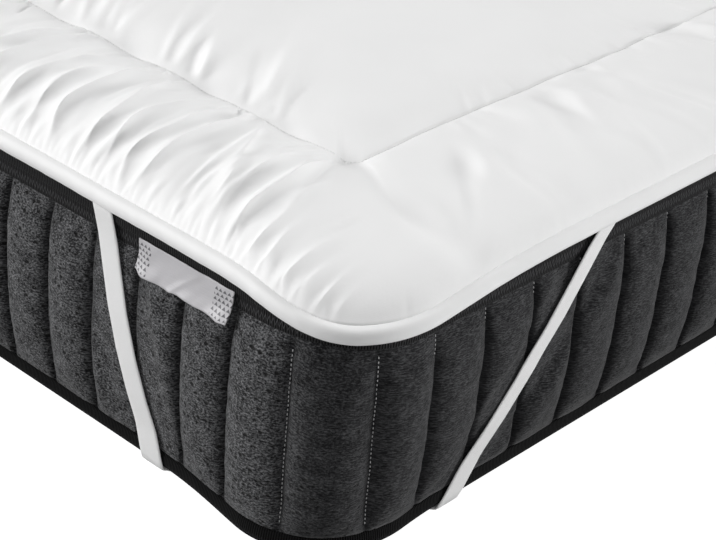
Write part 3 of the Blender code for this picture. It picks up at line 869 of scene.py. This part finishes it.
def side_folds(height, fine, runs, away, seam, chance, start, toward):
    """Folds on half of one long side. start is the run at the short end's level, and toward is
    1 where runs grow toward that corner."""
    border = away <= seam
    share = np.clip(away / seam, 0, 1)
    bend = CORNER_RADIUS + (SEAM_INSET_SHORT + SEAM_CORNER_RADIUS - CORNER_RADIUS) * share
    bend = bend + np.maximum(0.0, away - seam)
    radius = CORNER_RADIUS + (SEAM_CORNER_RADIUS - CORNER_RADIUS) * share
    straight_length = HALF_LENGTH - CORNER_RADIUS
    beyond, inside = seam - away, away - seam

    def run_at(distance):
        """The run on each ring for a distance from the short end's foot line."""
        straight = (distance - bend) / (HALF_LENGTH - bend)
        past = (bend - distance) / radius
        from_corner = np.where(straight >= 0, straight * straight_length, -past * CORNER_RADIUS)
        return start - toward * (CORNER_RADIUS + from_corner)

    def lay(target, distance, widths, depths, skew=1.0):
        room = 1 - smooth_step(0.70, 1.10, (bend - distance) / radius)
        room = np.where(border, room, smooth_step(0.004, 0.040, distance - bend))
        lay_fold(target, runs, run_at(distance), widths, depths * room, skew)

    def lean_at(distance):
        """Folds lean toward the corner, and less so near the middle of the side."""
        return min(1.0, (HALF_LENGTH - distance) / LEAN_REACH)

    # The main folds, which cross the border.
    stars = list(NEAR_STARS)
    while stars[-1] < HALF_LENGTH - 0.06:
        stars.append(stars[-1] + STAR_PITCH * chance.uniform(*STAR_PITCH_RANGE))
    near = start == NEAR_START
    folds = list(NEAR_FOLDS) if near else []
    for star in stars[(len(NEAR_STARS) if near else 0):]:
        lean = 0.9 * lean_at(star)
        for spread, weight in STAR_SPREAD:
            at_seam, middle, at_edge, depth, width = draw(chance, FAR_FOLD)
            at_seam = star + 0.45 * spread + at_seam
            middle = star + spread + lean * middle
            at_edge = star + spread - lean * at_edge
            folds.append((at_seam, middle, at_edge, weight * depth, width))
    for at_seam, middle, at_edge, depth, width in folds:
        depth *= FOLD_DEPTH
        bow = middle - (at_seam + at_edge) / 2
        wander = chance.uniform(-FOLD_WANDER, FOLD_WANDER)
        path = at_edge + (at_seam - at_edge) * share + bow * np.sin(math.pi * share ** 0.8)
        path = path + wander * np.sin(3 * math.pi * share)
        rise = smooth_step(0.02, 0.30, share) * (1 - 0.72 * smooth_step(0.62, 0.985, share))
        depths = np.where(border, depth * rise * (1 - smooth_step(0.985, 1.0, share)), 0.0)
        widths = 0.42 + 0.58 * np.sin(math.pi * np.clip(share * 0.92 + 0.04, 0, 1))
        lay(height, path, width * widths, depths, skew=1.0 + 0.22 * toward)
    # Folds that cross the corner from the gathered edge.
    for at_edge, inward, length, depth, width in CORNER_FOLDS:
        at_edge += chance.uniform(-0.002, 0.002)
        path = at_edge + inward * smooth_step(-0.2 * length, 1.3 * length, away)
        depths = rise_and_fade(depth, away, (0.001, 0.010), (0.35 * length, length))
        lay(height, path, width * (0.45 + 0.9 * np.sqrt(np.clip(away / length, 0, 1))), depths)
    # Shorter folds that start at the binding and fade out.
    place = 0.030
    while place < HALF_LENGTH:
        step, length, slant, depth = draw(chance, EDGE_FOLD)
        place += step
        slant *= lean_at(place)
        path = place + slant * away - 4.0 * away ** 2 * slant
        depths = rise_and_fade(depth, away, (0.002, 0.010), (0.35 * length, length))
        lay(fine, path, 0.0034 + 0.060 * away, depths)
    # Creases of the gathered edge.
    place = 0.015
    while place < HALF_LENGTH:
        step, length, slant, depth = draw(chance, EDGE_CREASE)
        place += step
        path = place + slant * lean_at(place) * away
        depths = rise_and_fade(-depth, away, (-0.001, 0.004), (0.15 * length, length))
        lay(fine, path, 0.0016 + 0.05 * away, depths)
    # Creases and folds that spread from each gathered point of the seam, on both sides of it.
    for star in [place for place in stars if place > 0.16]:
        for _ in range(SEAM_CREASES):
            slant, length, off, sign, depth = draw(chance, SEAM_CREASE)
            path = star + off + slant * beyond
            depths = rise_and_fade(sign * depth, beyond, (0.0005, 0.004), (0.2 * length, length))
            lay(fine, path, 0.0018 + 0.07 * np.abs(beyond), np.where(border, depths, 0.0))
        for _ in range(INNER_CREASES):
            slant, length, off, sign, depth = draw(chance, INNER_CREASE)
            path = star + off + slant * inside - 1.3 * slant * inside ** 2
            depths = rise_and_fade(sign * depth, inside, (0.0, 0.022), (0.35 * length, length))
            lay(fine, path, 0.0046 + 0.050 * np.abs(inside), np.where(border, 0.0, depths))
        for _ in range(INNER_FOLDS):
            slant, length, off, depth = draw(chance, INNER_FOLD)
            path = star + off + slant * inside - 0.5 * slant * inside ** 2
            depths = rise_and_fade(depth, inside, (0.01, 0.05), (0.4 * length, length))
            lay(height, path, 0.006 + 0.05 * np.abs(inside), np.where(border, 0.0, depths))
    # Fine wrinkles that run with the folds.
    from_corner = -toward * apart(runs, start)[None, :] - CORNER_RADIUS
    level = bend[:, None] + from_corner * (HALF_LENGTH - bend[:, None]) / straight_length
    here = smooth_step(-0.02, 0.03, from_corner) * (from_corner < straight_length)
    flow = level - (0.020 * share + 0.018 * np.sin(math.pi * share ** 0.8))[:, None]
    seed = 60 + int(start * 10) % 30
    rough = soft_noise(flow / WRINKLE_ACROSS, away[:, None] / WRINKLE_ALONG + 40, seed)
    patches = soft_noise(flow / PATCH_ACROSS, away[:, None] / PATCH_ALONG + 9, seed + 1)
    shown = smooth_step(0.03, 0.16, share) * (1 - smooth_step(0.90, 1.0, share))
    ridges = 1 - 2.4 * np.abs(rough)
    fine += WRINKLE * ridges * np.clip(0.4 + 0.6 * patches, 0, 1) * here * shown[:, None]
    # Branches that cross from one fold to the next.
    place = 0.060
    while place < HALF_LENGTH:
        step, middle, reach, slant, sign, depth, width = draw(chance, BRANCH)
        place += step
        path = place + slant * away - 2.5 * slant * away ** 2
        depths = hump(sign * depth, share, middle, reach)
        depths = rise_and_fade(depths, share, (0.0, 0.05), (0.95, 1.0))
        lay(fine, path, np.full_like(away, width), np.where(border, depths, 0.0))


def end_folds(height, fine, runs, away, seam, chance, start, toward):
    """Faint dents and a few creases on half of a short end."""
    border = away <= seam
    share = np.clip(away / seam, 0, 1)
    beyond = np.abs(away - seam)

    def lay(target, place, widths, depths):
        lay_fold(target, runs, start - toward * place, widths, depths)

    for kind, count, target, spread, fade in (
            (END_CREASE, END_CREASES, fine, 0.5 + share, 0.97),
            (END_DENT, END_DENTS, height, np.ones_like(share), 0.94)):
        for _ in range(count):
            place, slant, middle, reach, sign, depth, width = draw(chance, kind)
            depths = hump(sign * depth, share, middle, reach)
            depths = rise_and_fade(depths, share, (0.0, 0.06), (fade, 1.0))
            lay(target, place + slant * away, width * spread, np.where(border, depths, 0.0))
    # Small nicks at the edge.
    place = 0.02
    while place < HALF_WIDTH:
        step, length, depth = draw(chance, END_NICK)
        place += step
        depths = rise_and_fade(-depth, away, (0.0, 0.003), (0.2 * length, length))
        lay(fine, place + 0.2 * away, 0.002 + 0.06 * away, depths)
    # Short creases at the seam, each on one side of it.
    for _ in range(END_SEAM_CREASES):
        place, slant, length, side, sign, depth = draw(chance, END_SEAM_CREASE)
        depths = rise_and_fade(sign * depth, beyond, (0.0005, 0.004), (0.2 * length, length))
        depths = np.where(border != (side < 0.5), depths, 0.0)
        lay(fine, place + slant * beyond, 0.0045 + 0.10 * beyond, depths)


def fold_heights(runs, away, seam):
    """Heights of the large and the small folds at each ring and run."""
    height = np.zeros((len(away), len(runs)))
    fine = np.zeros_like(height)
    chance = random.Random(21)
    # For each corner: where one side's run would be at the other side's foot line if the corner
    # were square, and which way the corner lies. The long sides come first.
    for start, toward in (
            (NEAR_START, 1),
            (STARTS[3] - CORNER_RADIUS, -1),
            (STARTS[4] + CORNER_RADIUS, 1),
            (STARTS[7] - CORNER_RADIUS, -1)):
        side_folds(height, fine, runs, away, seam, chance, start, toward)
    for start, toward in (
            (STARTS[1] - CORNER_RADIUS, -1),
            (STARTS[2] + CORNER_RADIUS, 1),
            (STARTS[5] - CORNER_RADIUS, -1),
            (STARTS[6] + CORNER_RADIUS, 1)):
        end_folds(height, fine, runs, away, seam, chance, start, toward)
    return height, fine


def seam_lift(runs):
    """How far the stitched line stands above its lowest points, between the gathers."""
    from_end = HALF_LENGTH - np.abs(ring_xy(runs, 0, 0, CORNER_RADIUS)[1])
    off = np.mod(from_end - NEAR_STARS[0] + STAR_PITCH / 2, STAR_PITCH) - STAR_PITCH / 2
    gathered = np.exp(-(off / 0.020) ** 2) * (1 - end_weight(runs))
    lumps = 1 + 0.5 * noise_along(runs, 0.05, 6)
    return SEAM_RELIEF * (1 - gathered) * (1 - droop_weight(runs)) * lumps


def middle_height(x, y):
    """The panel's middle rises from the stitched rectangle, rounded where two sides meet."""
    from_side = HALF_WIDTH - SEAM_INSET_LONG - np.abs(x)
    from_end = HALF_LENGTH - SEAM_INSET_SHORT - np.abs(y)
    inside = -HIP_ROUND * np.logaddexp(-from_side / HIP_ROUND, -from_end / HIP_ROUND)
    return curve(inside, MIDDLE_TOP, 1)


def seam_groove(runs):
    depth = SEAM_GROOVE * (0.25 + 0.55 * end_weight(runs))
    return depth * (0.8 + 0.4 * noise_along(runs, 0.012, 7))


def border_height(run, share):
    """The border's height at a share of the way from the edge to the stitched rectangle."""
    return blend_sides(run, [curve(share, BORDER_TOP, column) for column in (1, 2, 3)])


def make_pad(material):
    runs = spaced_runs(PAD_STEPS)
    edge = blend_sides(runs, PAD_EDGE)
    under = CROWN_HEIGHT + PAD_CLEARANCE
    rings = [ring_at(runs, inset, UNDER_RADIUS, under) for inset in UNDER_INSETS]
    rings.append(ring_at(runs, CROWN_INSET, CROWN_CORNER_RADIUS, under))
    for sides in reversed(PAD_UNDER):
        offset, height = (blend_sides(runs, values) for values in zip(*sides))
        rings.append(offset_ring(runs, offset, height))
    # The top: away is the distance from the edge, with rings closer together at the edge.
    steps = np.linspace(0, 1, BORDER_RINGS)
    shares = 0.5 - 0.5 * np.cos(math.pi * steps ** 0.9)
    shares = 0.45 * shares + 0.55 * steps
    shares = np.concatenate((shares[:-1], (SEAM_NEAR_SHARE, 1.0)))
    away = np.concatenate((shares * SEAM_AWAY, SEAM_AWAY + np.array(MIDDLE_STEPS)))
    last = len(shares) - 1
    height, fine = fold_heights(runs, away, SEAM_AWAY)
    relief = seam_lift(runs)
    spacing = np.mod(np.roll(runs, -1) - np.roll(runs, 1), LOOP)
    slope = (np.roll(height, -1, axis=1) - np.roll(height, 1, axis=1)) / spacing[None, :]
    slope = np.clip(slope, -STEEPEST, STEEPEST)
    slope[last:] = 0.0
    calm = 1 - smooth_step(0.20, 0.26, away - SEAM_AWAY)
    height = (height + fine) * calm[:, None]
    height[[0, last]] = 0.0
    for index, distance in enumerate(away):
        past = distance - SEAM_AWAY
        if index <= last:
            share = shares[index]
            inset_x = -edge + (SEAM_INSET_LONG + edge) * share
            inset_y = -edge + (SEAM_INSET_SHORT + edge) * share
            radius = CORNER_RADIUS + edge + (SEAM_CORNER_RADIUS - CORNER_RADIUS - edge) * share
            swell = BORDER_SWELL * math.sin(math.pi * share)
        else:
            inset_x, inset_y = SEAM_INSET_LONG + past, SEAM_INSET_SHORT + past
            radius = SEAM_CORNER_RADIUS
            swell = MIDDLE_SWELL * smooth_step(0.0, 0.06, past) * calm[index]
        x, y, _, _ = ring_xy(runs + FOLD_OVERHANG * slope[index], inset_x, inset_y, radius)
        base = border_height(runs, share) if index <= last else middle_height(x, y)
        lumps = soft_noise(x / 0.085, y / 0.085, 3) + 0.5 * soft_noise(x / 0.035, y / 0.035, 4)
        lifted = relief * math.exp(-(past / 0.016) ** 2)
        lifted = lifted - seam_groove(runs) * math.exp(-(past / 0.0010) ** 2)
        rings.append(np.stack((x, y, base + height[index] + swell * lumps + lifted), axis=-1))
    points = np.array(rings)
    return bend_grid("padded_panel", points, close_loop(runs), distances(points[:, 0]), material)


# The binding: a strip folded round the pad's edge.

def binding_section(runs):
    """The outside of the folded strip, as offsets and heights for each run."""
    offset = blend_sides(runs, BINDING_OFFSET)
    height = blend_sides(runs, BINDING_HEIGHT)
    edge = blend_sides(runs, PAD_EDGE)
    width = SEAM_INSET_LONG + (SEAM_INSET_SHORT - SEAM_INSET_LONG) * end_weight(runs)
    half_out, half_up = BINDING_HALF
    rows = []
    for share, proud in BINDING_LIP:
        out = edge - (width + edge) * share + 0.4 * proud
        rows.append((out, border_height(runs, share) + proud))
    for turn in BINDING_TURNS:
        rows.append((offset + half_out * np.cos(turn), height + half_up * np.sin(turn)))
    return (np.array(values) for values in zip(*rows))


def make_binding(material):
    runs = spaced_runs(BINDING_STEPS)
    offsets, heights = binding_section(runs)
    rows = len(offsets)
    ripple = 0.00035 * noise_along(runs, 0.018, 11) + 0.00022 * noise_along(runs, 0.006, 12)
    gathered = 1 - 0.75 * end_weight(runs)
    for index in range(rows):
        offsets[index] += ripple * gathered * math.sin(math.pi * (index + 0.5) / rows)
    # Smooth the section once, so the lip runs into the round.
    for values in (offsets, heights):
        values[1:-1] = (values[:-2] + 2 * values[1:-1] + values[2:]) / 4
    out_step = np.gradient(offsets, axis=0)
    up_step = np.gradient(heights, axis=0)
    size = np.hypot(out_step, up_step)
    inner_offsets = offsets + BINDING_THICKNESS * up_step / size
    inner_heights = heights - BINDING_THICKNESS * out_step / size
    offsets = np.concatenate((offsets, inner_offsets[::-1]))
    heights = np.concatenate((heights, inner_heights[::-1]))
    points = np.array([offset_ring(runs, out, up) for out, up in zip(offsets, heights)])
    across = distances(np.concatenate((points, points[:1]))[:, 0])
    piece = bend_grid("edge_binding", points, close_loop(runs), across, material, wrap_rows=True)
    return piece


# The mattress.

def underside_height(x, y):
    reach = (HALF_WIDTH - np.abs(x)) / BAND_FOOT_SHORT + (HALF_LENGTH - np.abs(y)) / BAND_FOOT_LONG
    return np.where(reach < BAND_RECESS_REACH, BAND_RECESS, 0.0)


def press(run, height):
    """1 under a band, falling to 0 beside it."""
    share = 1 - height / TAPE_TOP
    weight = np.zeros_like(run)
    for corner in range(4):
        long_away = BAND_SEWN_LONG + (BAND_FOOT_LONG - BAND_SEWN_LONG) * share - CORNER_RADIUS
        short_away = BAND_SEWN_SHORT + (BAND_FOOT_SHORT - BAND_SEWN_SHORT) * share - CORNER_RADIUS
        before, after = (long_away, short_away) if corner % 2 == 0 else (short_away, long_away)
        for middle in (STARTS[2 * corner] - before, STARTS[2 * corner + 1] + after):
            away = np.abs(apart(run, middle))
            weight = np.maximum(weight, (PRESS_END - away) / (PRESS_END - PRESS_FULL))
    return smooth_step(0.0, 1.0, np.minimum(weight, 1.0))


def rib_rise(share):
    """Across a rib: 0 in its seams, 1 on its crown."""
    return 1 - np.abs(2 * share - 1) ** 2.4


def side_surface(run, share, height):
    """How far the ribbed side stands out at a run, a share across the rib, and a height."""
    valley = curve(height, RIB_SECTION, 1)
    crown = curve(height, RIB_SECTION, 2)
    left = 1 - (1 - PRESSED_RISE) * press(run, height)
    rise = rib_rise(share)
    lumps = 0.0006 * soft_noise(run / 0.016, height / 0.020, 31) * rise
    puckers = 0.0005 * soft_noise(run / 0.030, height / 0.0055, 32) * (1 - rise ** 2)
    flat = 1 - 0.75 * droop_weight(run)
    from_seam = np.minimum(share, 1 - share)
    groove = RIB_GROOVE * flat * np.exp(-(from_seam / RIB_GROOVE_SHARE) ** 2)
    return valley + (crown - valley) * rise * left + lumps + puckers - groove


def make_mattress(material):
    seams = seam_runs()
    after = close_loop(seams)[1:]
    shares = np.tile(RIB_SHARES, len(seams))
    columns = len(RIB_SHARES)
    runs = np.repeat(seams, columns) + np.repeat(after - seams, columns) * shares
    # The underside.
    rings = [ring_at(runs, inset, radius, 0.0) for inset, radius in UNDERSIDE_RINGS]
    rings += [side_points(runs, -inset, np.zeros_like(runs)) for inset in FOOT_INSETS]
    for ring in rings:
        ring[:, 2] = underside_height(ring[:, 0], ring[:, 1])
    # The side: the foot tape's seat, the ribs, then the top tape's seat.
    for height in SEAT_HEIGHTS:
        rings.append(side_points(runs, SEAT_OFFSET, np.full_like(runs, height)))
    side_foot, side_top = RIB_SECTION[0, 0], RIB_SECTION[-1, 0]
    foot = tape_foot(runs)
    for step in range(SIDE_ROWS):
        share_up = step / (SIDE_ROWS - 1)
        top = side_top + foot - TAPE_FOOT_LONG
        height = side_foot + (top - side_foot) * share_up
        level = side_foot + (side_top - side_foot) * share_up
        rings.append(side_points(runs, side_surface(runs, shares, level), height))
    for share_up in (0.02, 0.98):
        rings.append(side_points(runs, TAPE_SEAT, foot + (TAPE_TOP - foot) * share_up))
    # The top.
    for inset, height in SHOULDER_RINGS:
        rings.append(ring_at(runs, inset, CORNER_RADIUS - inset, height))
    for inset, radius in CROWN_RINGS:
        rings.append(ring_at(runs, inset, radius, CROWN_HEIGHT))
    points = np.array(rings)
    # Painted shade: the valley mark darkens the knit's colour near each seam between two ribs.
    from_seam = np.minimum(shares, 1 - shares)
    valley = np.exp(-(from_seam / VALLEY_SHADE_SHARE) ** 2) * (1 - 0.7 * droop_weight(runs))
    # The long_side mark also sets the painted shade round the corners and on the short ends.
    marks = {"long_side": 1 - end_weight(runs), "valley": valley}
    marks = {name: np.tile(values, (len(rings), 1)) for name, values in marks.items()}
    across = distances(points[:, RIB_MIDDLE])
    piece = bend_grid("mattress_body", points, close_loop(runs), across, material, marks=marks)
    return piece


# Stitches are short rounded rods laid along a line.

def make_stitches(name, places, material, length, radius):
    """places is a list of (point, direction, outward)."""
    shape = bmesh.new()
    bmesh.ops.create_uvsphere(
        shape, u_segments=5, v_segments=4, radius=1.0,
        matrix=Matrix.Diagonal((radius, radius, length / 2, 1.0)))
    rod = np.array([v.co for v in shape.verts])
    sides = [[v.index for v in face.verts] for face in shape.faces]
    shape.free()
    points, faces = [], []
    for point, direction, outward in places:
        side = direction.cross(outward).normalized()
        up = side.cross(direction).normalized()
        faces += [[index + len(points) * len(rod) for index in face] for face in sides]
        points.append(rod @ np.array((side, up, direction)) + np.array(point))
    mesh = bpy.data.meshes.new(name)
    mesh.from_pydata(np.concatenate(points).tolist(), [], faces)
    shape = bmesh.new()
    shape.from_mesh(mesh)
    return finish_piece(name, shape, material, mesh)


def stitch_places(points, outward, pitch):
    """Even steps along a line of points, with the outward direction of each."""
    steps = np.linalg.norm(np.diff(points, axis=0), axis=1)
    total = distances(points)
    places = []
    for at in np.arange(pitch / 2, total[-1], pitch):
        k = min(int(np.searchsorted(total, at)) - 1, len(steps) - 1)
        t = (at - total[k]) / steps[k]
        point = points[k] * (1 - t) + points[k + 1] * t
        direction = Vector(points[k + 1] - points[k]).normalized()
        places.append((Vector(point), direction, Vector(outward[k])))
    return places


def make_rib_stitches(material):
    """On the sides they lie in their groove, and round the corners they stand proud of it."""
    pitch, length, radius = RIB_STITCH
    rows = RIB_STITCH_HEIGHTS
    places = []
    for run in seam_runs():
        runs = np.full_like(rows, run)
        on_corner = int(locate(run)[0]) % 2 == 0
        proud = 0.0012 if on_corner else -0.0003 - 0.0001 * (1 - end_weight(runs))
        points = side_points(runs, side_surface(runs, np.zeros_like(rows), rows) + proud, rows)
        _, _, out_x, out_y = ring_xy(runs, 0, 0, CORNER_RADIUS)
        outward = np.stack((out_x, out_y, np.zeros_like(out_x)), axis=-1)
        places += stitch_places(points, outward, pitch)
    return make_stitches("rib_stitching", places, material, length, radius)


def make_seam_stitches(material):
    pitch, length, radius = SEAM_STITCH
    runs = spaced_runs(SEAM_STITCH_STEPS)
    x, y, _, _ = ring_xy(runs, SEAM_INSET_LONG, SEAM_INSET_SHORT, SEAM_CORNER_RADIUS)
    height = BORDER_TOP[-1, 1] - seam_groove(runs) + SEAM_STITCH_PROUD + seam_lift(runs)
    points = np.stack((x, y, height), axis=-1)
    points = np.concatenate((points, points[:1]))
    outward = np.tile((0.0, 0.0, 1.0), (len(points), 1))
    places = stitch_places(points, outward, pitch)
    return make_stitches("seam_stitching", places, material, length, radius)


# Tapes, bands and label.

def make_tape(name, rows, across, material):
    """A tape round the mattress. rows are (stand-off, height) pairs."""
    runs = spaced_runs(TAPE_STEPS)
    points = np.array([side_points(runs, out, height) for out, height in rows])
    piece = bend_grid(name, points, close_loop(runs), across, material, wrap_rows=True)
    return piece


def make_tape_top(material):
    runs = spaced_runs(TAPE_STEPS)
    foot = tape_foot(runs)
    rise = TAPE_TOP - foot
    wave = 0.0003 * noise_along(runs, 0.03, 41)
    rows = [(out + (wave if out > 0.001 else 0.0), foot + rise * share)
            for share, out in TOP_TAPE_SECTION]
    across = np.array([share * 0.027 for share, _ in TOP_TAPE_SECTION] + [-0.001])
    return make_tape("top_tape", rows, across, material)


def make_tape_bottom(material):
    rows = [(out, height) for height, out in FOOT_TAPE_SECTION]
    across = np.array([height for height, _ in FOOT_TAPE_SECTION] + [0.003])
    return make_tape("foot_tape", rows, across, material)


def side_place(run, out, height):
    """One point on the mattress's side."""
    return side_points(np.array([run]), np.array([out]), np.array([height]))[0]


def band_seat(height):
    """How far out the ribs that a band presses stand at a height."""
    level, valley, crown = RIB_SECTION[1:6].T
    pressed = valley + (crown - valley) * PRESSED_RISE
    heights = np.concatenate(([0.0, RIB_SECTION[0, 0]], level, [TAPE_FOOT_LONG, TAPE_TOP]))
    outs = np.concatenate(([BAND_SEAT_FOOT] * 2, pressed, [BAND_SEAT_TAPE] * 2))
    return float(np.interp(height, heights, outs))


def band_leg(sewn, foot, top, run_at, outward, across):
    """Down one side, at each step: the middle of the band's inner face, the directions outward
    and across, and the width."""
    rows = []
    for height in np.linspace(top, BAND_LEG_FOOT, BAND_LEG_STEPS):
        share = 1 - height / top
        run = run_at(sewn + (foot - sewn) * share - CORNER_RADIUS)
        width = BAND_WIDTH + (BAND_FOLD_WIDTH - BAND_WIDTH) * share ** 2
        rows.append((side_place(run, band_seat(height) + BAND_GAP, height), outward, across, width))
    return rows


def make_band(name, side_x, side_y, material):
    """One band, from the binding on a long side, under the corner, to the short end."""
    long_top = BINDING_HEIGHT[0] - BINDING_HALF[1] - BAND_END_GAP
    short_top = PAD_UNDER[0][1][1] - BAND_END_GAP
    long_foot = LOOP - (BAND_FOOT_LONG - CORNER_RADIUS)
    short_foot = ARC + BAND_FOOT_SHORT - CORNER_RADIUS
    turned = math.sqrt(0.5)
    rows = band_leg(BAND_SEWN_LONG, BAND_FOOT_LONG, long_top, lambda past: LOOP - past,
                    (-1, 0, 0), (0, 1, 0))
    rows.append((side_place(long_foot, *BAND_KNEE), (-turned, 0, -turned), (0, 1, 0),
                 BAND_FOLD_WIDTH))
    start, end = side_place(long_foot, 0.0, 0.0), side_place(short_foot, 0.0, 0.0)
    for share in np.linspace(0, 1, BAND_UNDER_STEPS):
        place = start + (end - start) * share
        place[2] = BAND_LIFT + BAND_THICKNESS
        size = math.hypot(share, 1 - share)
        width = BAND_FOLD_WIDTH + (BAND_WIDTH - BAND_FOLD_WIDTH) * math.sin(math.pi * share)
        rows.append((place, (0, 0, -1), (share / size, (1 - share) / size, 0), width))
    rows.append((side_place(short_foot, *BAND_KNEE), (0, -turned, -turned), (1, 0, 0),
                 BAND_FOLD_WIDTH))
    rows += band_leg(BAND_SEWN_SHORT, BAND_FOOT_SHORT, short_top, lambda past: ARC + past,
                     (0, -1, 0), (1, 0, 0))[::-1]
    # The section: a flat inner face, and an outer face rounded off at both edges.
    spread = np.linspace(-0.5, 0.5, 9)
    thick = [BAND_THICKNESS * (1 - 0.35 * (2 * abs(s)) ** 6) for s in spread]
    sections = []
    for place, outward, across, width in rows:
        outward, across = np.array(outward, float), np.array(across, float)
        inner = [place + across * width * s for s in spread]
        outer = [point + outward * size for point, size in zip(inner, thick)]
        sections.append(inner + outer[::-1])
    points = np.array(sections).transpose(1, 0, 2) * np.array((-side_x, -side_y, 1.0))
    middles = np.array([row[0] for row in rows])
    across = np.concatenate((spread, spread[::-1], spread[:1])) * BAND_WIDTH
    piece = bend_grid("elastic_" + name, points, distances(middles), across, material,
                      wrap_columns=False, wrap_rows=True)
    return piece


def make_label(material):
    columns, rows = 90, 26
    along = np.linspace(0, 1, columns)[None, :]
    up = np.linspace(0, 1, rows)[:, None]
    low, high = LABEL_SECTION[0, 0], LABEL_SECTION[-1, 0]
    height = low + (high - low) * up
    out = curve(height + 0 * along, LABEL_SECTION, 1)
    loose = (1 - up) ** 1.3
    out = out + 0.0022 * loose * (0.3 + soft_noise(along * 4.2, up * 1.2, 51))
    out = out + 0.0007 * soft_noise(along * 11.0 + up * 2.0, up * 2.4, 52) * (1 - 0.6 * up)
    out = out + 0.0012 * loose * np.exp(-((along + 0.3 * up - 0.62) / 0.035) ** 2)
    # The ends curl in at the foot.
    curl = loose * (smooth_step(0.88, 1.0, along) + 0.6 * smooth_step(0.10, 0.0, along))
    out = out - 0.0030 * curl
    height = height + loose * (0.0008 * soft_noise(along * 6.0, 0 * up, 53) + 0.0022 * curl)
    y = -HALF_LENGTH + LABEL_START + LABEL_LENGTH * along - 0.0015 * (1 - up) * (along - 0.3)
    inner = np.stack((-(HALF_WIDTH + out), y, height), axis=-1)
    outer = inner.copy()
    outer[:, :, 0] -= LABEL_THICKNESS
    points = np.concatenate((inner, outer[::-1]))
    across = np.concatenate((up[:, 0], up[::-1, 0], up[:1, 0])) * LABEL_WIDTH
    piece = bend_grid("blank_label", points, along[0] * LABEL_LENGTH, across, material,
                      wrap_columns=False, wrap_rows=True)
    return piece


def build_object():
    cover = make_cloth("white_cover", COVER_COLORS, 1700.0)
    edging = make_cloth("white_edging", EDGING_COLORS, 1300.0)
    knit = make_knit()
    black = make_tape_material("black_tape", TOP_TAPE_COLORS, 0.0019, 0.0035, 0.0090)
    # On the foot tape, the lighter row between 5.5 and 7.5 mm up is a painted sheen line.
    black_low = make_tape_material("black_foot_tape", FOOT_TAPE_COLORS, 0.0016, 0.0055, 0.0075)
    elastic = make_elastic()
    satin = make_satin()
    pad = make_pad(cover)
    binding = make_binding(edging)
    mattress = make_mattress(knit)
    tape_top = make_tape_top(black)
    tape_bottom = make_tape_bottom(black_low)
    label = make_label(satin)
    for piece, node, slot in (
            (pad, "pad", "cover"),
            (binding, "binding", "edging"),
            (mattress, "mattress", "knit"),
            (tape_top, "tape_top", "tape"),
            (tape_bottom, "tape_bottom", "tape"),
            (label, "label", "satin")):
        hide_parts(node)
    for name, side_x, side_y in (("band_near_left", -1, -1), ("band_near_right", 1, -1),
                                 ("band_far_right", 1, 1), ("band_far_left", -1, 1)):
        band = make_band(name, side_x, side_y, elastic)
        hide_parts(name)
    make_rib_stitches(make_thread("grey_thread", GREY_THREAD))
    make_seam_stitches(make_thread("white_thread", WHITE_THREAD))


def add_area_light(name, place, aim, size, power):
    data = bpy.data.lights.new(name, "AREA")
    data.shape = "DISK"
    data.size = size
    data.energy = power
    lamp = bpy.data.objects.new(name, data)
    lamp.location = place
    lamp.rotation_mode = "QUATERNION"
    lamp.rotation_quaternion = (Vector(aim) - Vector(place)).to_track_quat("-Z", "Y")
    bpy.context.scene.collection.objects.link(lamp)


def make_stage():
    shape = bmesh.new()
    bmesh.ops.create_grid(shape, x_segments=1, y_segments=1, size=9.0)
    mesh = bpy.data.meshes.new("floor")
    shape.to_mesh(mesh)
    shape.free()
    mesh.materials.append(make_floor_material())
    floor = bpy.data.objects.new("floor", mesh)
    bpy.context.scene.collection.objects.link(floor)
    world = bpy.data.worlds.new("studio")
    bpy.context.scene.world = world
    world.use_nodes = True
    tree = world.node_tree
    background = tree.nodes["Background"]
    background.inputs["Color"].default_value = (1.0, 1.0, 1.0, 1.0)
    # White where the camera sees it, and faint as a light.
    seen = tree.nodes.new("ShaderNodeLightPath").outputs["Is Camera Ray"]
    tree.links.new(add_range(tree, seen, 0.0, 1.0, WORLD_LIGHT, 1.0), background.inputs["Strength"])
    for light in LIGHTS:
        add_area_light(*light)


def make_camera():
    data = bpy.data.cameras.new("camera")
    data.sensor_width = SENSOR
    data.lens = LENS
    data.clip_start = 0.05
    data.clip_end = 60.0
    camera = bpy.data.objects.new("camera", data)
    bpy.context.scene.collection.objects.link(camera)
    right, up, back, place = (Vector(row) for row in PHOTO_CAMERA)
    camera.matrix_world = Matrix((
        (right.x, up.x, back.x, place.x),
        (right.y, up.y, back.y, place.y),
        (right.z, up.z, back.z, place.z),
        (0, 0, 0, 1)))
    bpy.context.scene.camera = camera


build_object()
make_stage()
make_camera()
bpy.context.scene.view_settings.view_transform = "Standard"
